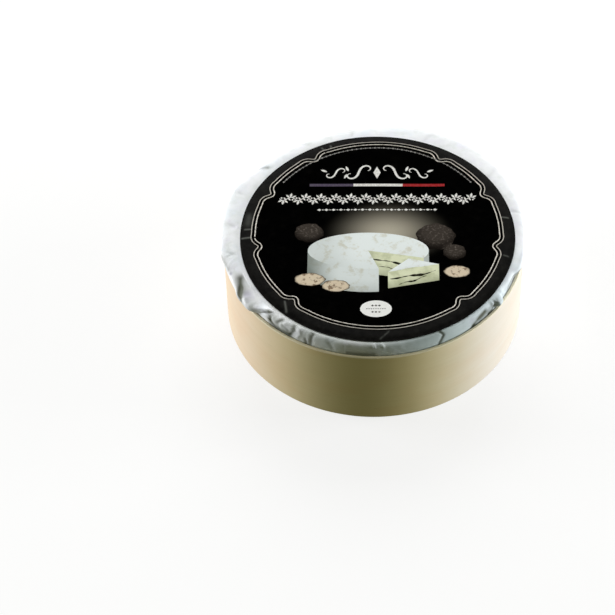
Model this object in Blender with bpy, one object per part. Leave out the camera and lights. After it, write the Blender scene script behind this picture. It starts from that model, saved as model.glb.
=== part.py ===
"""A truffle brie in its box: a soft wheel wrapped in film, with a round label on top, standing in a
round box of bent wood that the wrapped wheel rises out of.

Metres, +Z up. The origin is the middle of the box's underside, and -Y is the side that faces the viewer.
Angles run anticlockwise from +X, seen from above, in degrees.
"""

import math

import bmesh
import bpy

# The box: a strip of veneer bent into a hoop round a thin wooden base
HOOP_RADIUS = 0.085
HOOP_HEIGHT = 0.0525
VENEER = 0.0018
HOOP_EDGE = 0.0003
HOOP_STEPS = 144
BASE_THICKNESS = 0.003
BASE_EDGE = 0.0004
BASE_STEPS = 96

# The hoop's lap joint, at the back: the outer end lies over the inner end and stops in a step
LAP_STEP_ANGLE = 76.0
LAP_SPAN = 30.0
LAP_RAMP = 16.0
LAP_RISE = 0.0013
LAP_STEP_WIDTH = 0.35

# The wrapped wheel, from its rounded foot to its flat top. The shoulder is a quarter of a superellipse.
FIT_GAP = 0.0004
WHEEL_TOP = 0.0578
WHEEL_FLAT_RADIUS = 0.0787
WHEEL_FOOT_ROUND = 0.004
WHEEL_FOOT_TURNS = (0.0, 30.0, 60.0, 90.0)
WHEEL_STRAIGHT_TOP = 0.0477
WHEEL_STEPS = 150
SHOULDER_STEPS = 7
SHOULDER_FULLNESS = 2.3

# In front the film is tucked down inside the rim. Elsewhere it puffs out over the rim.
TUCK_START, TUCK_END = 196.0, 341.0
TUCK_BLEND = 14.0
CLIMB_SHARE = 0.4
TUCK_DEPTH = 0.0012
LIP_RADIUS = 0.0857
LIP_CLEARANCE = 0.0004
LIP_ROUND = 0.0021
LIP_TURNS = (0.0, 31.5, 63.0)

# Where the film bulges further out: middle, half width, how far out and how far up
BULGES = (
    (50.0, 62.0, 0.0046, 0.0012),
    (157.0, 22.0, 0.0034, 0.0004),
    (184.0, 22.0, 0.0014, 0.0),
)

# Pleats where the film turns down over the shoulder: angle, half width, depth and lean. Each is open
# at the lip, deepest a little above it, and closed on the flat top.
PLEAT_AT_LIP = 0.25
PLEATS = (
    (98.0, 3.5, 0.0007, 2.0),
    (141.0, 3.5, 0.0012, -2.0),
    (171.0, 4.0, 0.0007, 3.0),
    (206.0, 3.5, 0.0013, 4.0),
    (214.0, 3.0, 0.0010, -3.0),
    (224.0, 3.5, 0.0009, 3.0),
    (231.0, 3.0, 0.0010, -3.0),
    (238.0, 3.0, 0.0011, 4.0),
    (245.0, 3.0, 0.0009, -2.0),
    (252.0, 3.5, 0.0010, 3.0),
    (295.5, 3.0, 0.0012, 3.0),
    (309.0, 3.5, 0.0012, -7.0),
    (324.0, 3.0, 0.0011, 3.0),
    (8.0, 3.5, 0.0007, 2.0),
    (33.0, 3.5, 0.0006, -2.0),
    (66.0, 3.5, 0.0007, 2.0),
)

# The label, stuck on a little to the right of the middle
LABEL_RADIUS = 0.0777
LABEL_SHIFT = 0.0021
LABEL_THICKNESS = 0.0004
LABEL_GAP = 0.0003
LABEL_STEPS = 120

SHARP_ANGLE = 35.0

HOOP_INNER = HOOP_RADIUS - VENEER
WHEEL_RADIUS = HOOP_INNER - FIT_GAP


def smooth(x):
    """0 below 0, 1 above 1, and a soft step between them."""
    x = min(1.0, max(0.0, x))
    return x * x * (3 - 2 * x)


def apart(angle, middle):
    """How far an angle lies from a middle, the short way round, from -180 to 180 degrees."""
    return (angle - middle + 180.0) % 360.0 - 180.0


def hump(angle, middle, half_width):
    """1 at the middle, falling softly to 0 at the half width."""
    share = abs(apart(angle, middle)) / half_width
    return math.cos(share * math.pi / 2) ** 2 if share < 1 else 0.0


def clear_scene():
    for thing in list(bpy.data.objects):
        bpy.data.objects.remove(thing, do_unlink=True)


def finish(name, colour, roughness, metallic=0.0):
    """A plain finish for one piece."""
    made = bpy.data.materials.new(name)
    made.use_nodes = True
    shader = made.node_tree.nodes["Principled BSDF"]
    shader.inputs["Base Color"].default_value = (*colour, 1.0)
    shader.inputs["Roughness"].default_value = roughness
    shader.inputs["Metallic"].default_value = metallic
    return made


def add_piece(name, mesh, material):
    """An object of that mesh, smooth on its round faces and crisp on its edges."""
    bmesh.ops.recalc_face_normals(mesh, faces=mesh.faces)
    data = bpy.data.meshes.new(name)
    mesh.to_mesh(data)
    mesh.free()
    data.materials.append(material)
    data.shade_smooth()
    data.set_sharp_from_angle(angle=math.radians(SHARP_ANGLE))
    made = bpy.data.objects.new(name, data)
    bpy.context.scene.collection.objects.link(made)
    return made


def join_rings(mesh, rings, closed):
    """Faces between each ring of vertices and the next, and back to the first if the section is closed."""
    pairs = list(zip(rings, rings[1:]))
    if closed:
        pairs.append((rings[-1], rings[0]))
    for lower, upper in pairs:
        for i in range(len(lower)):
            j = (i + 1) % len(lower)
            mesh.faces.new((lower[i], lower[j], upper[j], upper[i]))


def add_ring(mesh, angles, place):
    """One ring of vertices. place gives the radius and the height for each angle."""
    ring = []
    for angle in angles:
        radius, height = place(angle)
        turn = math.radians(angle)
        ring.append(mesh.verts.new((radius * math.cos(turn), radius * math.sin(turn), height)))
    return ring


def even_angles(steps):
    return [360.0 * i / steps for i in range(steps)]


def hoop_outer(angle):
    """The hoop's outer radius, which is larger where one end of the strip lies over the other."""
    along = (angle - LAP_STEP_ANGLE) % 360.0
    if along > 360.0 - LAP_STEP_WIDTH / 2:
        return HOOP_RADIUS
    return HOOP_RADIUS + LAP_RISE * (1 - smooth((along - LAP_SPAN) / LAP_RAMP))


def hoop_angles():
    """Even angles round the hoop, starting on the lap's step and ending just before it."""
    span = 360.0 - LAP_STEP_WIDTH
    return [LAP_STEP_ANGLE + span * i / HOOP_STEPS for i in range(HOOP_STEPS + 1)]


def build_hoop():
    """The strip's section swept round: outer face, rim, inner face and lower edge, with eased corners."""
    mesh = bmesh.new()
    angles = hoop_angles()
    section = (
        (hoop_outer, 0.0, HOOP_EDGE),
        (hoop_outer, 0.0, HOOP_HEIGHT - HOOP_EDGE),
        (hoop_outer, -HOOP_EDGE, HOOP_HEIGHT),
        (lambda angle: HOOP_INNER, HOOP_EDGE, HOOP_HEIGHT),
        (lambda angle: HOOP_INNER, 0.0, HOOP_HEIGHT - HOOP_EDGE),
        (lambda angle: HOOP_INNER, 0.0, HOOP_EDGE),
        (lambda angle: HOOP_INNER, HOOP_EDGE, 0.0),
        (hoop_outer, -HOOP_EDGE, 0.0),
    )
    rings = []
    for wall, inward, height in section:
        rings.append(add_ring(mesh, angles, lambda a: (wall(a) + inward, height)))
    join_rings(mesh, rings, closed=True)
    return add_piece("box_hoop", mesh, finish("veneer", (0.80, 0.66, 0.42), 0.6))


def disc(mesh, outline, steps, shift=0.0):
    """A closed disc from its outline of radius and height, lowest first, moved by shift along X."""
    angles = even_angles(steps)
    rings = [add_ring(mesh, angles, lambda a, p=point: p) for point in outline]
    join_rings(mesh, rings, closed=False)
    mesh.faces.new(rings[0])
    mesh.faces.new(rings[-1])
    bmesh.ops.translate(mesh, verts=mesh.verts, vec=(shift, 0.0, 0.0))


def build_base():
    mesh = bmesh.new()
    radius = HOOP_INNER - FIT_GAP
    outline = (
        (radius - BASE_EDGE, 0.0),
        (radius, BASE_EDGE),
        (radius, BASE_THICKNESS - BASE_EDGE),
        (radius - BASE_EDGE, BASE_THICKNESS),
    )
    disc(mesh, outline, BASE_STEPS)
    return add_piece("box_base", mesh, finish("base_wood", (0.76, 0.62, 0.40), 0.7))


def climb_and_spread(angle):
    """How far the film has climbed over the rim and how far it has spread out over it, each from 0 to 1.

    Both are 0 where it is tucked in. Where a tuck ends, the film clears the rim before it spreads.
    """
    middle = (TUCK_START + TUCK_END) / 2
    half = (TUCK_END - TUCK_START) / 2
    free = (abs(apart(angle, middle)) - half) / TUCK_BLEND + 0.5
    return smooth(free / CLIMB_SHARE), smooth((free - 1 + CLIMB_SHARE) / CLIMB_SHARE)


def bulge(angle):
    """How far out and how far up the film bulges there."""
    out = sum(hump(angle, middle, half) * far for middle, half, far, _ in BULGES)
    up = sum(hump(angle, middle, half) * high for middle, half, _, high in BULGES)
    return out, up


def pleat_depth(angle, climb):
    """How deep the pleats cut in, climb being 0 at the lip and 1 at the flat top."""
    fade = math.sin(math.pi * (PLEAT_AT_LIP + (1 - PLEAT_AT_LIP) * climb))
    return fade * sum(
        depth * hump(angle + lean * (climb - 0.5), middle, half)
        for middle, half, depth, lean in PLEATS
    )


def lip(angle):
    """The radius and the height of the film's widest line, where the shoulder starts."""
    climbed, spread = climb_and_spread(angle)
    out, up = bulge(angle)
    tucked = HOOP_HEIGHT - TUCK_DEPTH
    clear = HOOP_HEIGHT + LIP_CLEARANCE + LIP_ROUND + up
    return WHEEL_RADIUS + spread * (LIP_RADIUS + out - WHEEL_RADIUS), tucked + climbed * (clear - tucked)


def lip_underside(degrees):
    """The place of a line of vertices under the lip, from the neck at 0 degrees to the lip at 90."""
    turn = math.radians(degrees)

    def place(angle):
        radius, height = lip(angle)
        climbed, _ = climb_and_spread(angle)
        tucked = HOOP_HEIGHT - TUCK_DEPTH - HOOP_EDGE
        neck = tucked + climbed * (HOOP_HEIGHT + LIP_CLEARANCE - tucked)
        rise = (height - neck) * (1 - math.cos(turn))
        return WHEEL_RADIUS + (radius - WHEEL_RADIUS) * math.sin(turn), neck + rise

    return place


def shoulder(climb):
    """The place of a line of vertices on the shoulder, climb being 0 at the lip and 1 at the flat top."""
    turn = climb * math.pi / 2
    inward = math.cos(turn) ** (2 / SHOULDER_FULLNESS)
    upward = math.sin(turn) ** (2 / SHOULDER_FULLNESS)

    def place(angle):
        radius, height = lip(angle)
        cut = pleat_depth(angle, climb)
        across = WHEEL_FLAT_RADIUS + (radius - WHEEL_FLAT_RADIUS) * inward
        return across - cut * inward, height + (WHEEL_TOP - height) * upward - cut * upward

    return place


def foot_edge(degrees):
    """The place of a line of vertices on the wheel's rounded lower edge, 0 being under and 90 at the side."""
    turn = math.radians(degrees)
    radius = WHEEL_RADIUS - WHEEL_FOOT_ROUND * (1 - math.sin(turn))
    height = BASE_THICKNESS + FIT_GAP + WHEEL_FOOT_ROUND * (1 - math.cos(turn))
    return lambda angle: (radius, height)


def build_wheel():
    """The wrapped wheel: round at the foot, straight inside the hoop, then the lip, the shoulder and the top."""
    mesh = bmesh.new()
    angles = even_angles(WHEEL_STEPS)
    places = [foot_edge(degrees) for degrees in WHEEL_FOOT_TURNS]
    places.append(lambda angle: (WHEEL_RADIUS, WHEEL_STRAIGHT_TOP))
    places += [lip_underside(degrees) for degrees in LIP_TURNS]
    places += [shoulder(i / SHOULDER_STEPS) for i in range(SHOULDER_STEPS + 1)]
    rings = [add_ring(mesh, angles, place) for place in places]
    join_rings(mesh, rings, closed=False)
    mesh.faces.new(rings[0])
    mesh.faces.new(rings[-1])
    return add_piece("wrapped_wheel", mesh, finish("film", (0.84, 0.87, 0.90), 0.35, 0.2))


def build_label():
    mesh = bmesh.new()
    bottom = WHEEL_TOP + LABEL_GAP
    outline = ((LABEL_RADIUS, bottom), (LABEL_RADIUS, bottom + LABEL_THICKNESS))
    disc(mesh, outline, LABEL_STEPS, LABEL_SHIFT)
    return add_piece("label", mesh, finish("label_black", (0.012, 0.011, 0.010), 0.45))


def main():
    clear_scene()
    build_hoop()
    build_base()
    build_wheel()
    build_label()


main()
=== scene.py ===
"""A truffle brie in its round wooden box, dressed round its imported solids.

Lengths are metres. Angles are degrees, anticlockwise from +X seen from above, and -Y faces the viewer.
"""

import math

import bpy
import numpy as np
from bpy.props import FloatProperty, FloatVectorProperty, IntProperty, PointerProperty
from mathutils import Matrix, Vector, noise


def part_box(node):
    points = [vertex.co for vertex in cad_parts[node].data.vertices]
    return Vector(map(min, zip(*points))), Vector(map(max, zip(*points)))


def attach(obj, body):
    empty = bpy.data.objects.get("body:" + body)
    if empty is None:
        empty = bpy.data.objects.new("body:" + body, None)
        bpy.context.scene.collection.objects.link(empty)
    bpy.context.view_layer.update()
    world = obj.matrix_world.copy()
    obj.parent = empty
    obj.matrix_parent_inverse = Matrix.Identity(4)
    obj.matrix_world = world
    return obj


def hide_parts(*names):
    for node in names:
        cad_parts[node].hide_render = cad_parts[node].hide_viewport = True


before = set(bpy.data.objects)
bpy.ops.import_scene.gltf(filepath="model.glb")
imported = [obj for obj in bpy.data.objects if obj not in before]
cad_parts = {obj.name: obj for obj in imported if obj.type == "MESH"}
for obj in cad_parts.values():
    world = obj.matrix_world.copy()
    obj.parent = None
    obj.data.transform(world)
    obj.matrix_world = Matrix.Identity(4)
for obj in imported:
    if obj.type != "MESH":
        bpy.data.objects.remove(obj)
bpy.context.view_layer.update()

bl_info = {
    "name": "Boxed Truffle Brie",
    "version": (1, 0, 0),
    "blender": (4, 5, 0),
    "location": "3D View > Sidebar > Truffle Brie",
    "description": "Dresses a boxed soft cheese: bent wood, creased film, a printed label and a stage",
    "category": "Object",
}

MM = 0.001
BODY = "root"

# Sizes that the solids give
HOOP_LOW, HOOP_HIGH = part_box("box_hoop")
BASE_LOW, BASE_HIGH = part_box("box_base")
WHEEL_LOW, WHEEL_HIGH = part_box("wrapped_wheel")
LABEL_LOW, LABEL_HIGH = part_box("label")
HOOP_RADIUS = -HOOP_LOW.y
HOOP_HEIGHT = HOOP_HIGH.z
WHEEL_FOOT = WHEEL_LOW.z
WHEEL_TOP = WHEEL_HIGH.z
WHEEL_RADIUS = -WHEEL_LOW.y
LABEL_RADIUS = (LABEL_HIGH.x - LABEL_LOW.x) / 2
LABEL_X = (LABEL_HIGH.x + LABEL_LOW.x) / 2
LABEL_TOP = LABEL_HIGH.z
LABEL_THICKNESS = LABEL_HIGH.z - LABEL_LOW.z

# Where the hoop's outer end stops in a step, and how long its lap is before it thins out
LAP_STEP = 76.0
LAP_SPAN = 30.0
LAP_RAMP = 16.0
LAP_RISE = 1.3 * MM

# The veneer's tones round the hoop, which paint light and shade: from peach to olive, painted shade in
# front, between the first two angles, and to cream, painted light on the right, between the other two
PAINTED_LIGHT_DRIFT = (206.0, 262.0, 276.0, 326.0)

# The film: its flat top's radius, where it is tucked inside the rim in front, and its lip elsewhere
FLAT_RADIUS = 78.7 * MM
SHOULDER_FULLNESS = 2.3
TUCK_START, TUCK_END = 223.0, 338.0
TUCK_BLEND = 14.0
CLIMB_SHARE = 0.4
TUCK_DEPTH = 1.2 * MM
LIP_RADIUS = 85.7 * MM
LIP_CLEARANCE = 0.4 * MM
LIP_ROUND = 2.1 * MM
WHEEL_FOOT_ROUND = 4.0 * MM
# How far under the rim the wheel's straight side ends, and how far under the tuck its edge starts to turn
STRAIGHT_END = 5.0 * MM
TUCK_EDGE = 0.3 * MM

# Where the film bulges out: middle, half width before it and after it, how far out and how far up
BULGES = (
    (50.0, 62.0, 62.0, 4.6 * MM, 1.2 * MM),
    (154.5, 15.0, 30.0, 3.2 * MM, 0.4 * MM),
    (184.0, 22.0, 14.0, 1.4 * MM, 0.0),
    (210.5, 5.5, 9.0, 1.7 * MM, 0.0),
    (218.5, 7.0, 7.0, 0.3 * MM, -1.4 * MM),
)

# The tongue of film that lies on the rim inside the tucked stretch: middle, half width before and after it
TONGUE = (325.8, 4.6, 7.5)

# Folds over the shoulder: a path of angles and shares of the shoulder, then a half width and a depth in
# millimetres and a shade, which is painted shade along the fold. A depth below 0 stands up as a crest, and
# rows with little or no depth are mostly painted shade.
SHOULDER_LENGTH = 9.0
FOLDS = (
    (((11.0, 0.10), (13.0, 0.90)), 1.4, 0.25, 0.10),
    (((38.0, 0.20), (34.5, 0.95)), 1.6, 0.24, 0.10),
    (((65.0, 0.10), (68.0, 0.85)), 1.4, 0.26, 0.12),
    (((97.0, 0.15), (99.0, 0.90)), 1.6, 0.30, 0.12),
    (((121.0, 0.10), (118.0, 0.80)), 1.4, 0.25, 0.12),
    (((142.0, 0.05), (139.0, 0.80)), 1.5, 0.65, 0.42),
    (((154.0, 0.05), (157.0, 0.75)), 1.3, 0.34, 0.15),
    (((170.0, 0.10), (175.0, 0.90)), 1.6, 0.32, 0.12),
    (((184.0, 0.10), (190.0, 0.85)), 1.5, 0.34, 0.12),
    (((189.5, 0.14), (193.5, 0.26), (196.8, 0.36)), 2.2, 0.10, 0.58),
    (((203.4, 0.84), (206.4, 0.64), (209.2, 0.44)), 2.6, 0.80, 1.00),
    (((208.2, 0.56), (210.4, 0.30)), 2.3, 0.40, 0.70),
    (((211.6, 0.34), (212.6, 0.12)), 1.4, 0.40, 0.80),
    (((213.4, 0.56), (215.4, 0.38), (218.0, 0.32), (220.4, 0.44), (223.8, 0.86)), 2.3, -1.10, 0.0),
    (((221.6, 0.16), (224.0, 0.56), (225.4, 0.84)), 0.9, 0.40, 0.40),
    (((226.4, 0.50), (226.8, 0.12)), 1.1, 0.40, 0.66),
    (((230.0, 0.52), (231.4, 0.86)), 1.4, 0.40, 0.60),
    (((232.6, 0.50), (235.2, 0.36)), 1.0, 0.30, 0.50),
    # Painted shadow along the gap above the rim, and painted shade along the top of the front shoulder
    (((226.0, 0.12), (236.0, 0.14)), 1.5, 0.10, 0.90),
    (((240.0, 0.98), (268.0, 0.98), (296.0, 0.98)), 2.2, 0.0, 0.34),
    (((237.2, 0.92), (238.0, 0.60), (237.0, 0.26)), 1.4, 0.45, 0.66),
    (((239.6, 0.84), (240.6, 0.50), (239.8, 0.26)), 1.3, -0.40, 0.0),
    (((243.2, 0.34), (243.8, 0.10)), 1.0, 0.40, 0.60),
    (((245.6, 0.90), (245.6, 0.14)), 1.4, 0.45, 0.62),
    (((252.0, 0.82), (254.4, 0.30)), 1.4, 0.20, 0.16),
    # Painted shadow along the gap above the rim
    (((260.0, 0.14), (270.0, 0.14)), 1.2, 0.10, 0.66),
    (((270.0, 0.92), (270.5, 0.66)), 0.7, -0.50, 0.0),
    (((273.2, 0.94), (273.8, 0.72)), 0.7, -0.40, 0.0),
    (((297.2, 0.92), (297.9, 0.60), (295.8, 0.12)), 1.0, 0.50, 0.80),
    (((318.4, 0.46), (315.2, 0.34), (311.6, 0.12)), 1.5, 0.38, 0.74),
    (((321.0, 0.32), (316.0, 0.22)), 2.6, 0.15, 0.52),
    (((310.6, 0.02), (312.0, 0.08)), 0.9, 0.20, 0.55),
    (((325.4, 0.66), (324.6, 0.34)), 0.9, 0.15, 0.42),
    (((320.2, 0.06), (323.6, 0.03)), 1.0, 0.25, 0.85),
    (((344.5, 0.00), (341.0, 0.04), (334.0, 0.02)), 0.9, 0.20, 0.62),
)

# Darker lilac patches on the film: angle, share of the shoulder, half width, half height, strength
PATCHES = (
    (199.2, 0.42, 1.4, 1.6, 0.85),
    (211.8, 0.74, 3.6, 2.2, 0.90),
    (222.8, 0.52, 3.0, 1.0, 0.60),
    (234.5, 0.60, 2.0, 2.0, 0.30),
    (311.6, 0.52, 2.4, 1.8, 0.45),
    (349.0, 0.45, 8.0, 1.1, 0.40),
    (338.5, 0.78, 7.0, 3.0, 0.24),
    (5.0, 0.75, 16.0, 3.2, 0.14),
    (64.0, 0.70, 12.0, 3.0, 0.10),
    (152.0, 0.70, 12.0, 3.0, 0.08),
)

# Rings across the flat top, as shares of its radius: close together near the shoulder, wide under the label
FLAT_SHARES = (0.992, 0.984, 0.975, 0.965, 0.95, 0.93, 0.85, 0.7, 0.5, 0.25)

# Zones of crumpled film: middle, half width, height of the crumples, which also scales the painted shade in
# their creases
CRUMPLES = (
    (236.0, 20.0, 0.13),
    (218.0, 12.0, 0.10),
    (268.0, 22.0, 0.10),
    (312.0, 16.0, 0.10),
    (189.0, 18.0, 0.14),
)
# How wide and long a crumple is in millimetres, how far it strays, leans and bows sideways
CRUMPLE_WIDTH, CRUMPLE_LENGTH = 4.2, 9.0
CRUMPLE_STRAY, CRUMPLE_LEAN, CRUMPLE_BOW = 1.1, 0.8, 2.6

# How close together the film's light crinkles lie, broad ones and fine ones, to the metre
BROAD_CRINKLE, FINE_CRINKLE = 95.0, 260.0

# Waves across the flat top: turns along X and along Y, in radians a metre, and where they start
RIPPLES = ((83.0, 31.0, 0.7), (-44.0, 97.0, 2.1), (128.0, -71.0, 4.0))
RIPPLE_HEIGHT = 0.06 * MM
RIPPLE_FADE = 2.0 * MM

# How the label keeps the film down: how soon past its edge, what it lets through, and how free the rest is
PRESS_WIDTH = 0.6 * MM
PRESS_GAP = 0.05 * MM
FREE_RISE = 2.0 * MM

# How the label's edge departs from a circle: waves round it, how high, as a share, and where they start
LABEL_WAVES = ((3, 0.0016, 1.0), (7, 0.0010, 2.0))
PAPER_THICKNESS = 0.8 * LABEL_THICKNESS
LABEL_DROOP = 0.30 * MM
LABEL_DROOP_WIDTH = 5.0 * MM

# Creases and rubbed places in the label, paler along their ridges with rub and painted highlight: middle in
# its own millimetres, heading, length, half width, height
CREASES = (
    (-73.5, -2.5, 8.0, 8.0, 0.5, 0.16),
    (-73.0, 4.0, 4.0, 6.0, 0.5, 0.13),
    (-73.0, 11.0, 84.0, 15.0, 2.0, 0.05),
    (4.0, -73.5, 48.0, 9.0, 0.5, 0.06),
    (-50.4, -53.4, 98.0, 10.0, 0.5, 0.12),
    (72.5, 13.0, 170.0, 6.0, 0.5, 0.12),
    (-31.5, 67.0, 122.0, 5.0, 0.5, 0.10),
    (-27.0, 69.0, 100.0, 4.0, 0.5, 0.09),
    (72.0, -16.0, 160.0, 5.0, 0.5, 0.08),
)
# How high a crease stands where its rub and painted highlight are full, in millimetres
RUB_AND_HIGHLIGHT_HEIGHT = 0.14

# The print. Places are in the label's own frame, in millimetres from its middle, +Y away from the viewer.
PRINT_LIFT = 0.02 * MM
GROWN_LIFT = 1.4 * PRINT_LIFT
FINE_GRAIN = 900.0

# The frame: its notches' angles, its reach, how far up it is printed, and the notches' shape
NOTCHES = (26.9, 58.5, 121.5, 152.8, 187.5, 226.3, 313.6, 352.8)
FRAME_REACH = 71.1
FRAME_SHIFT = 1.75
NOTCH_DEPTH, NOTCH_HALF_WIDTH = 3.3, 5.5
NOTCH_SHOULDER = 0.3
FIELD_INSET = 0.4

# The rows, the flourish, the bar and the oval
ARC_REACH, ARC_START, ARC_END = 66.4, 144.0, 35.0
VINE_Y, VINE_PERIOD, VINE_HEIGHT, VINE_COUNT = 27.6, 8.6, 1.25, 13
LOZENGE_Y, LOZENGE_REACH = 19.2, 33.0
FLOURISH_Y = 48.2
SCROLL_STEPS, SCROLL_WIDTH = 70, 14.5
BAR_TOP, BAR_HEIGHT = 39.4, 2.0
BAR_PARTS = (
    ("bar_violet", -38.8, -13.6, "bar_violet"),
    ("bar_white", -13.6, 14.7, "white_ink"),
    ("bar_red", 14.7, 38.8, "bar_red"),
)

# Scrolls and drops of the flourish's right half: their place beside its middle, their length and heading
SCROLLS = ((10.6, 0.0, 14.5, -14.0), (24.0, -0.6, 11.0, -10.0))
DROPS = ((16.6, 1.2, 4.2, 70.0), (17.4, -1.2, 3.8, -66.0), (28.8, 0.6, 4.2, 24.0))

# Leaves in a bow of the vine: their place beside its crest, length, width and heading
VINE_LEAVES = (
    (-0.2, 1.25, 3.3, 1.5, 78.0),
    (-0.9, 1.15, 2.7, 1.2, 132.0),
    (0.7, 1.15, 2.7, 1.2, 28.0),
    (-1.3, 0.6875, 2.3, 1.0, -62.0),
)

# The oval's middle and half sizes, and how far its outer rows of marks lie from its middle
OVAL = (-0.7, -54.7, 8.7, 6.0)
OVAL_ROW = 2.3

# The picture: a round cheese with a slice drawn out of it, truffles and truffle slices, all plain shapes
DRUM_X, DRUM_Y = -5.0, -12.0
DRUM_WIDE, DRUM_DEEP, DRUM_TALL = 34.0, 13.5, 17.0
CUT_FROM, CUT_TO = 280.0, 336.0
TRUFFLES = ((33.0, -1.5, 11.0, 9.8), (-38.5, 1.5, 8.2, 7.2), (43.5, -13.0, 6.4, 5.8))
TRUFFLE_SLICES = ((-37.5, -33.5, 8.6, 4.7), (-23.0, -38.0, 7.8, 4.3), (44.5, -27.5, 7.4, 4.5))
WEDGE_TIP, WEDGE_BACK, WEDGE_HEEL = (34.5, -22.0), (17.5, -18.0), (6.0, -28.0)
WEDGE_TALL = 12.0

# The staples up the lap: how many, how far in from the hoop's edges as a share of its height, their bends'
# radius in wire thicknesses, and how many sides the wire has
STAPLE_COUNT = 3
STAPLE_MARGIN = 0.2
STAPLE_BEND = 1.2
STAPLE_SIDES = 8

# The soft lights: name, degrees round, degrees up, distance, width and height
LIGHTS = (
    ("back_light", 90.0, 36.0, 2.6, 2.2, 1.6),
    ("right_light", 5.0, 7.0, 2.4, 1.0, 0.5),
    ("left_light", 166.0, 7.0, 2.4, 1.0, 0.5),
)

# The photo's width in pixels, which the framing was measured in
PHOTO_WIDTH = 615


def smooth(x):
    """0 below 0, 1 above 1, and a soft step between them."""
    x = np.clip(x, 0.0, 1.0)
    return x * x * (3 - 2 * x)


def apart(angle, middle):
    """How far an angle lies from a middle, the short way round, from -180 to 180 degrees."""
    return (angle - middle + 180.0) % 360.0 - 180.0


def hump(angle, middle, before, after):
    """1 at the middle, falling softly to 0 at a half width before it and another after it."""
    off = apart(angle, middle)
    share = np.abs(off) / np.where(off < 0, before, after)
    return np.where(share < 1, np.cos(np.minimum(share, 1.0) * math.pi / 2) ** 2, 0.0)


def all_round(steps):
    """Angles all the way round, in even steps."""
    return np.arange(steps) * 360.0 / steps


def round_path(reach, angle):
    """Points round the middle, at one distance or at one for each angle."""
    turn = np.radians(angle)
    return np.stack([reach * np.cos(turn), reach * np.sin(turn)], axis=1)


def ripple(x, y):
    """How far the flat top rises and falls there, under film and label alike."""
    return RIPPLE_HEIGHT * sum(np.sin(along * x + up * y + start) for along, up, start in RIPPLES)


class NodeKit:
    """Adds nodes to one tree, sets their inputs and links their sockets."""

    def __init__(self, tree):
        self.tree = tree

    def add(self, kind, inputs=None, **settings):
        node = self.tree.nodes.new(kind)
        for name, value in settings.items():
            setattr(node, name, value)
        for key, value in (inputs or {}).items():
            self.feed(node, key, value)
        return node

    def feed(self, node, key, value):
        """Sets or links one input, given by its name or its number. A colour needs only three parts."""
        socket = node.inputs[key]
        if isinstance(value, bpy.types.NodeSocket):
            self.tree.links.new(value, socket)
        elif socket.type == "RGBA":
            socket.default_value = (*tuple(value)[:3], 1.0)
        else:
            socket.default_value = value

    def math(self, operation, *values):
        return self.add("ShaderNodeMath", dict(enumerate(values)), operation=operation).outputs[0]

    def weigh(self, share, first, second):
        """A share of one value and the rest of another."""
        rest = self.math("MULTIPLY", second, 1.0 - share)
        return self.math("ADD", self.math("MULTIPLY", first, share), rest)

    def parts(self, vector):
        """A vector's X, Y and Z."""
        return self.add("ShaderNodeSeparateXYZ", {0: vector}).outputs

    def mark(self, name):
        """A value that the mesh's points carry."""
        return self.add("ShaderNodeAttribute", attribute_name=name).outputs["Fac"]

    def blend(self, share, low, high):
        """A colour between two, by a share from 0 to 1."""
        return self.add("ShaderNodeMix", {0: share, 6: low, 7: high}, data_type="RGBA").outputs[2]

    def tint(self, share, colour, tint):
        """A colour multiplied by a tint, by a share from 0 to 1."""
        inputs = {0: share, 6: colour, 7: tint}
        return self.add("ShaderNodeMix", inputs, data_type="RGBA", blend_type="MULTIPLY").outputs[2]

    def step(self, value, low, high, bottom=0.0, top=1.0):
        """A soft step from bottom to top as the value goes from low to high."""
        inputs = {"Value": value, "From Min": low, "From Max": high, "To Min": bottom, "To Max": top}
        return self.add("ShaderNodeMapRange", inputs, interpolation_type="SMOOTHSTEP").outputs[0]

    def scaled(self, vector, scale, shift=(0.0, 0.0, 0.0)):
        inputs = {"Vector": vector, "Scale": scale, "Location": shift}
        return self.add("ShaderNodeMapping", inputs).outputs[0]

    def noise(self, vector, scale, detail=2.0, roughness=0.5, shift=(0.0, 0.0, 0.0)):
        """Clouds. A scale for each axis stretches them, and a shift moves them."""
        if isinstance(scale, tuple):
            vector, scale = self.scaled(vector, scale, shift), 1.0
        inputs = {"Vector": vector, "Scale": scale, "Detail": detail, "Roughness": roughness}
        return self.add("ShaderNodeTexNoise", inputs).outputs[0]


def new_material(name, roughness=0.5, specular=0.5, **extra):
    material = bpy.data.materials.new(name)
    material.use_nodes = True
    shader = material.node_tree.nodes["Principled BSDF"]
    kit = NodeKit(material.node_tree)
    kit.feed(shader, "Roughness", roughness)
    kit.feed(shader, "Specular IOR Level", specular)
    for key, value in extra.items():
        kit.feed(shader, key.replace("_", " "), value)
    return material, kit, shader


def object_place(kit):
    return kit.add("ShaderNodeTexCoord").outputs["Object"]


def add_bump(kit, shader, height, distance, strength):
    bump = kit.add("ShaderNodeBump", {"Height": height, "Distance": distance, "Strength": strength})
    kit.feed(shader, "Normal", bump.outputs[0])


def strip_place(angle):
    """How far along the strip's map an angle round the hoop lies."""
    return math.radians(angle - LAP_STEP) * HOOP_RADIUS


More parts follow.
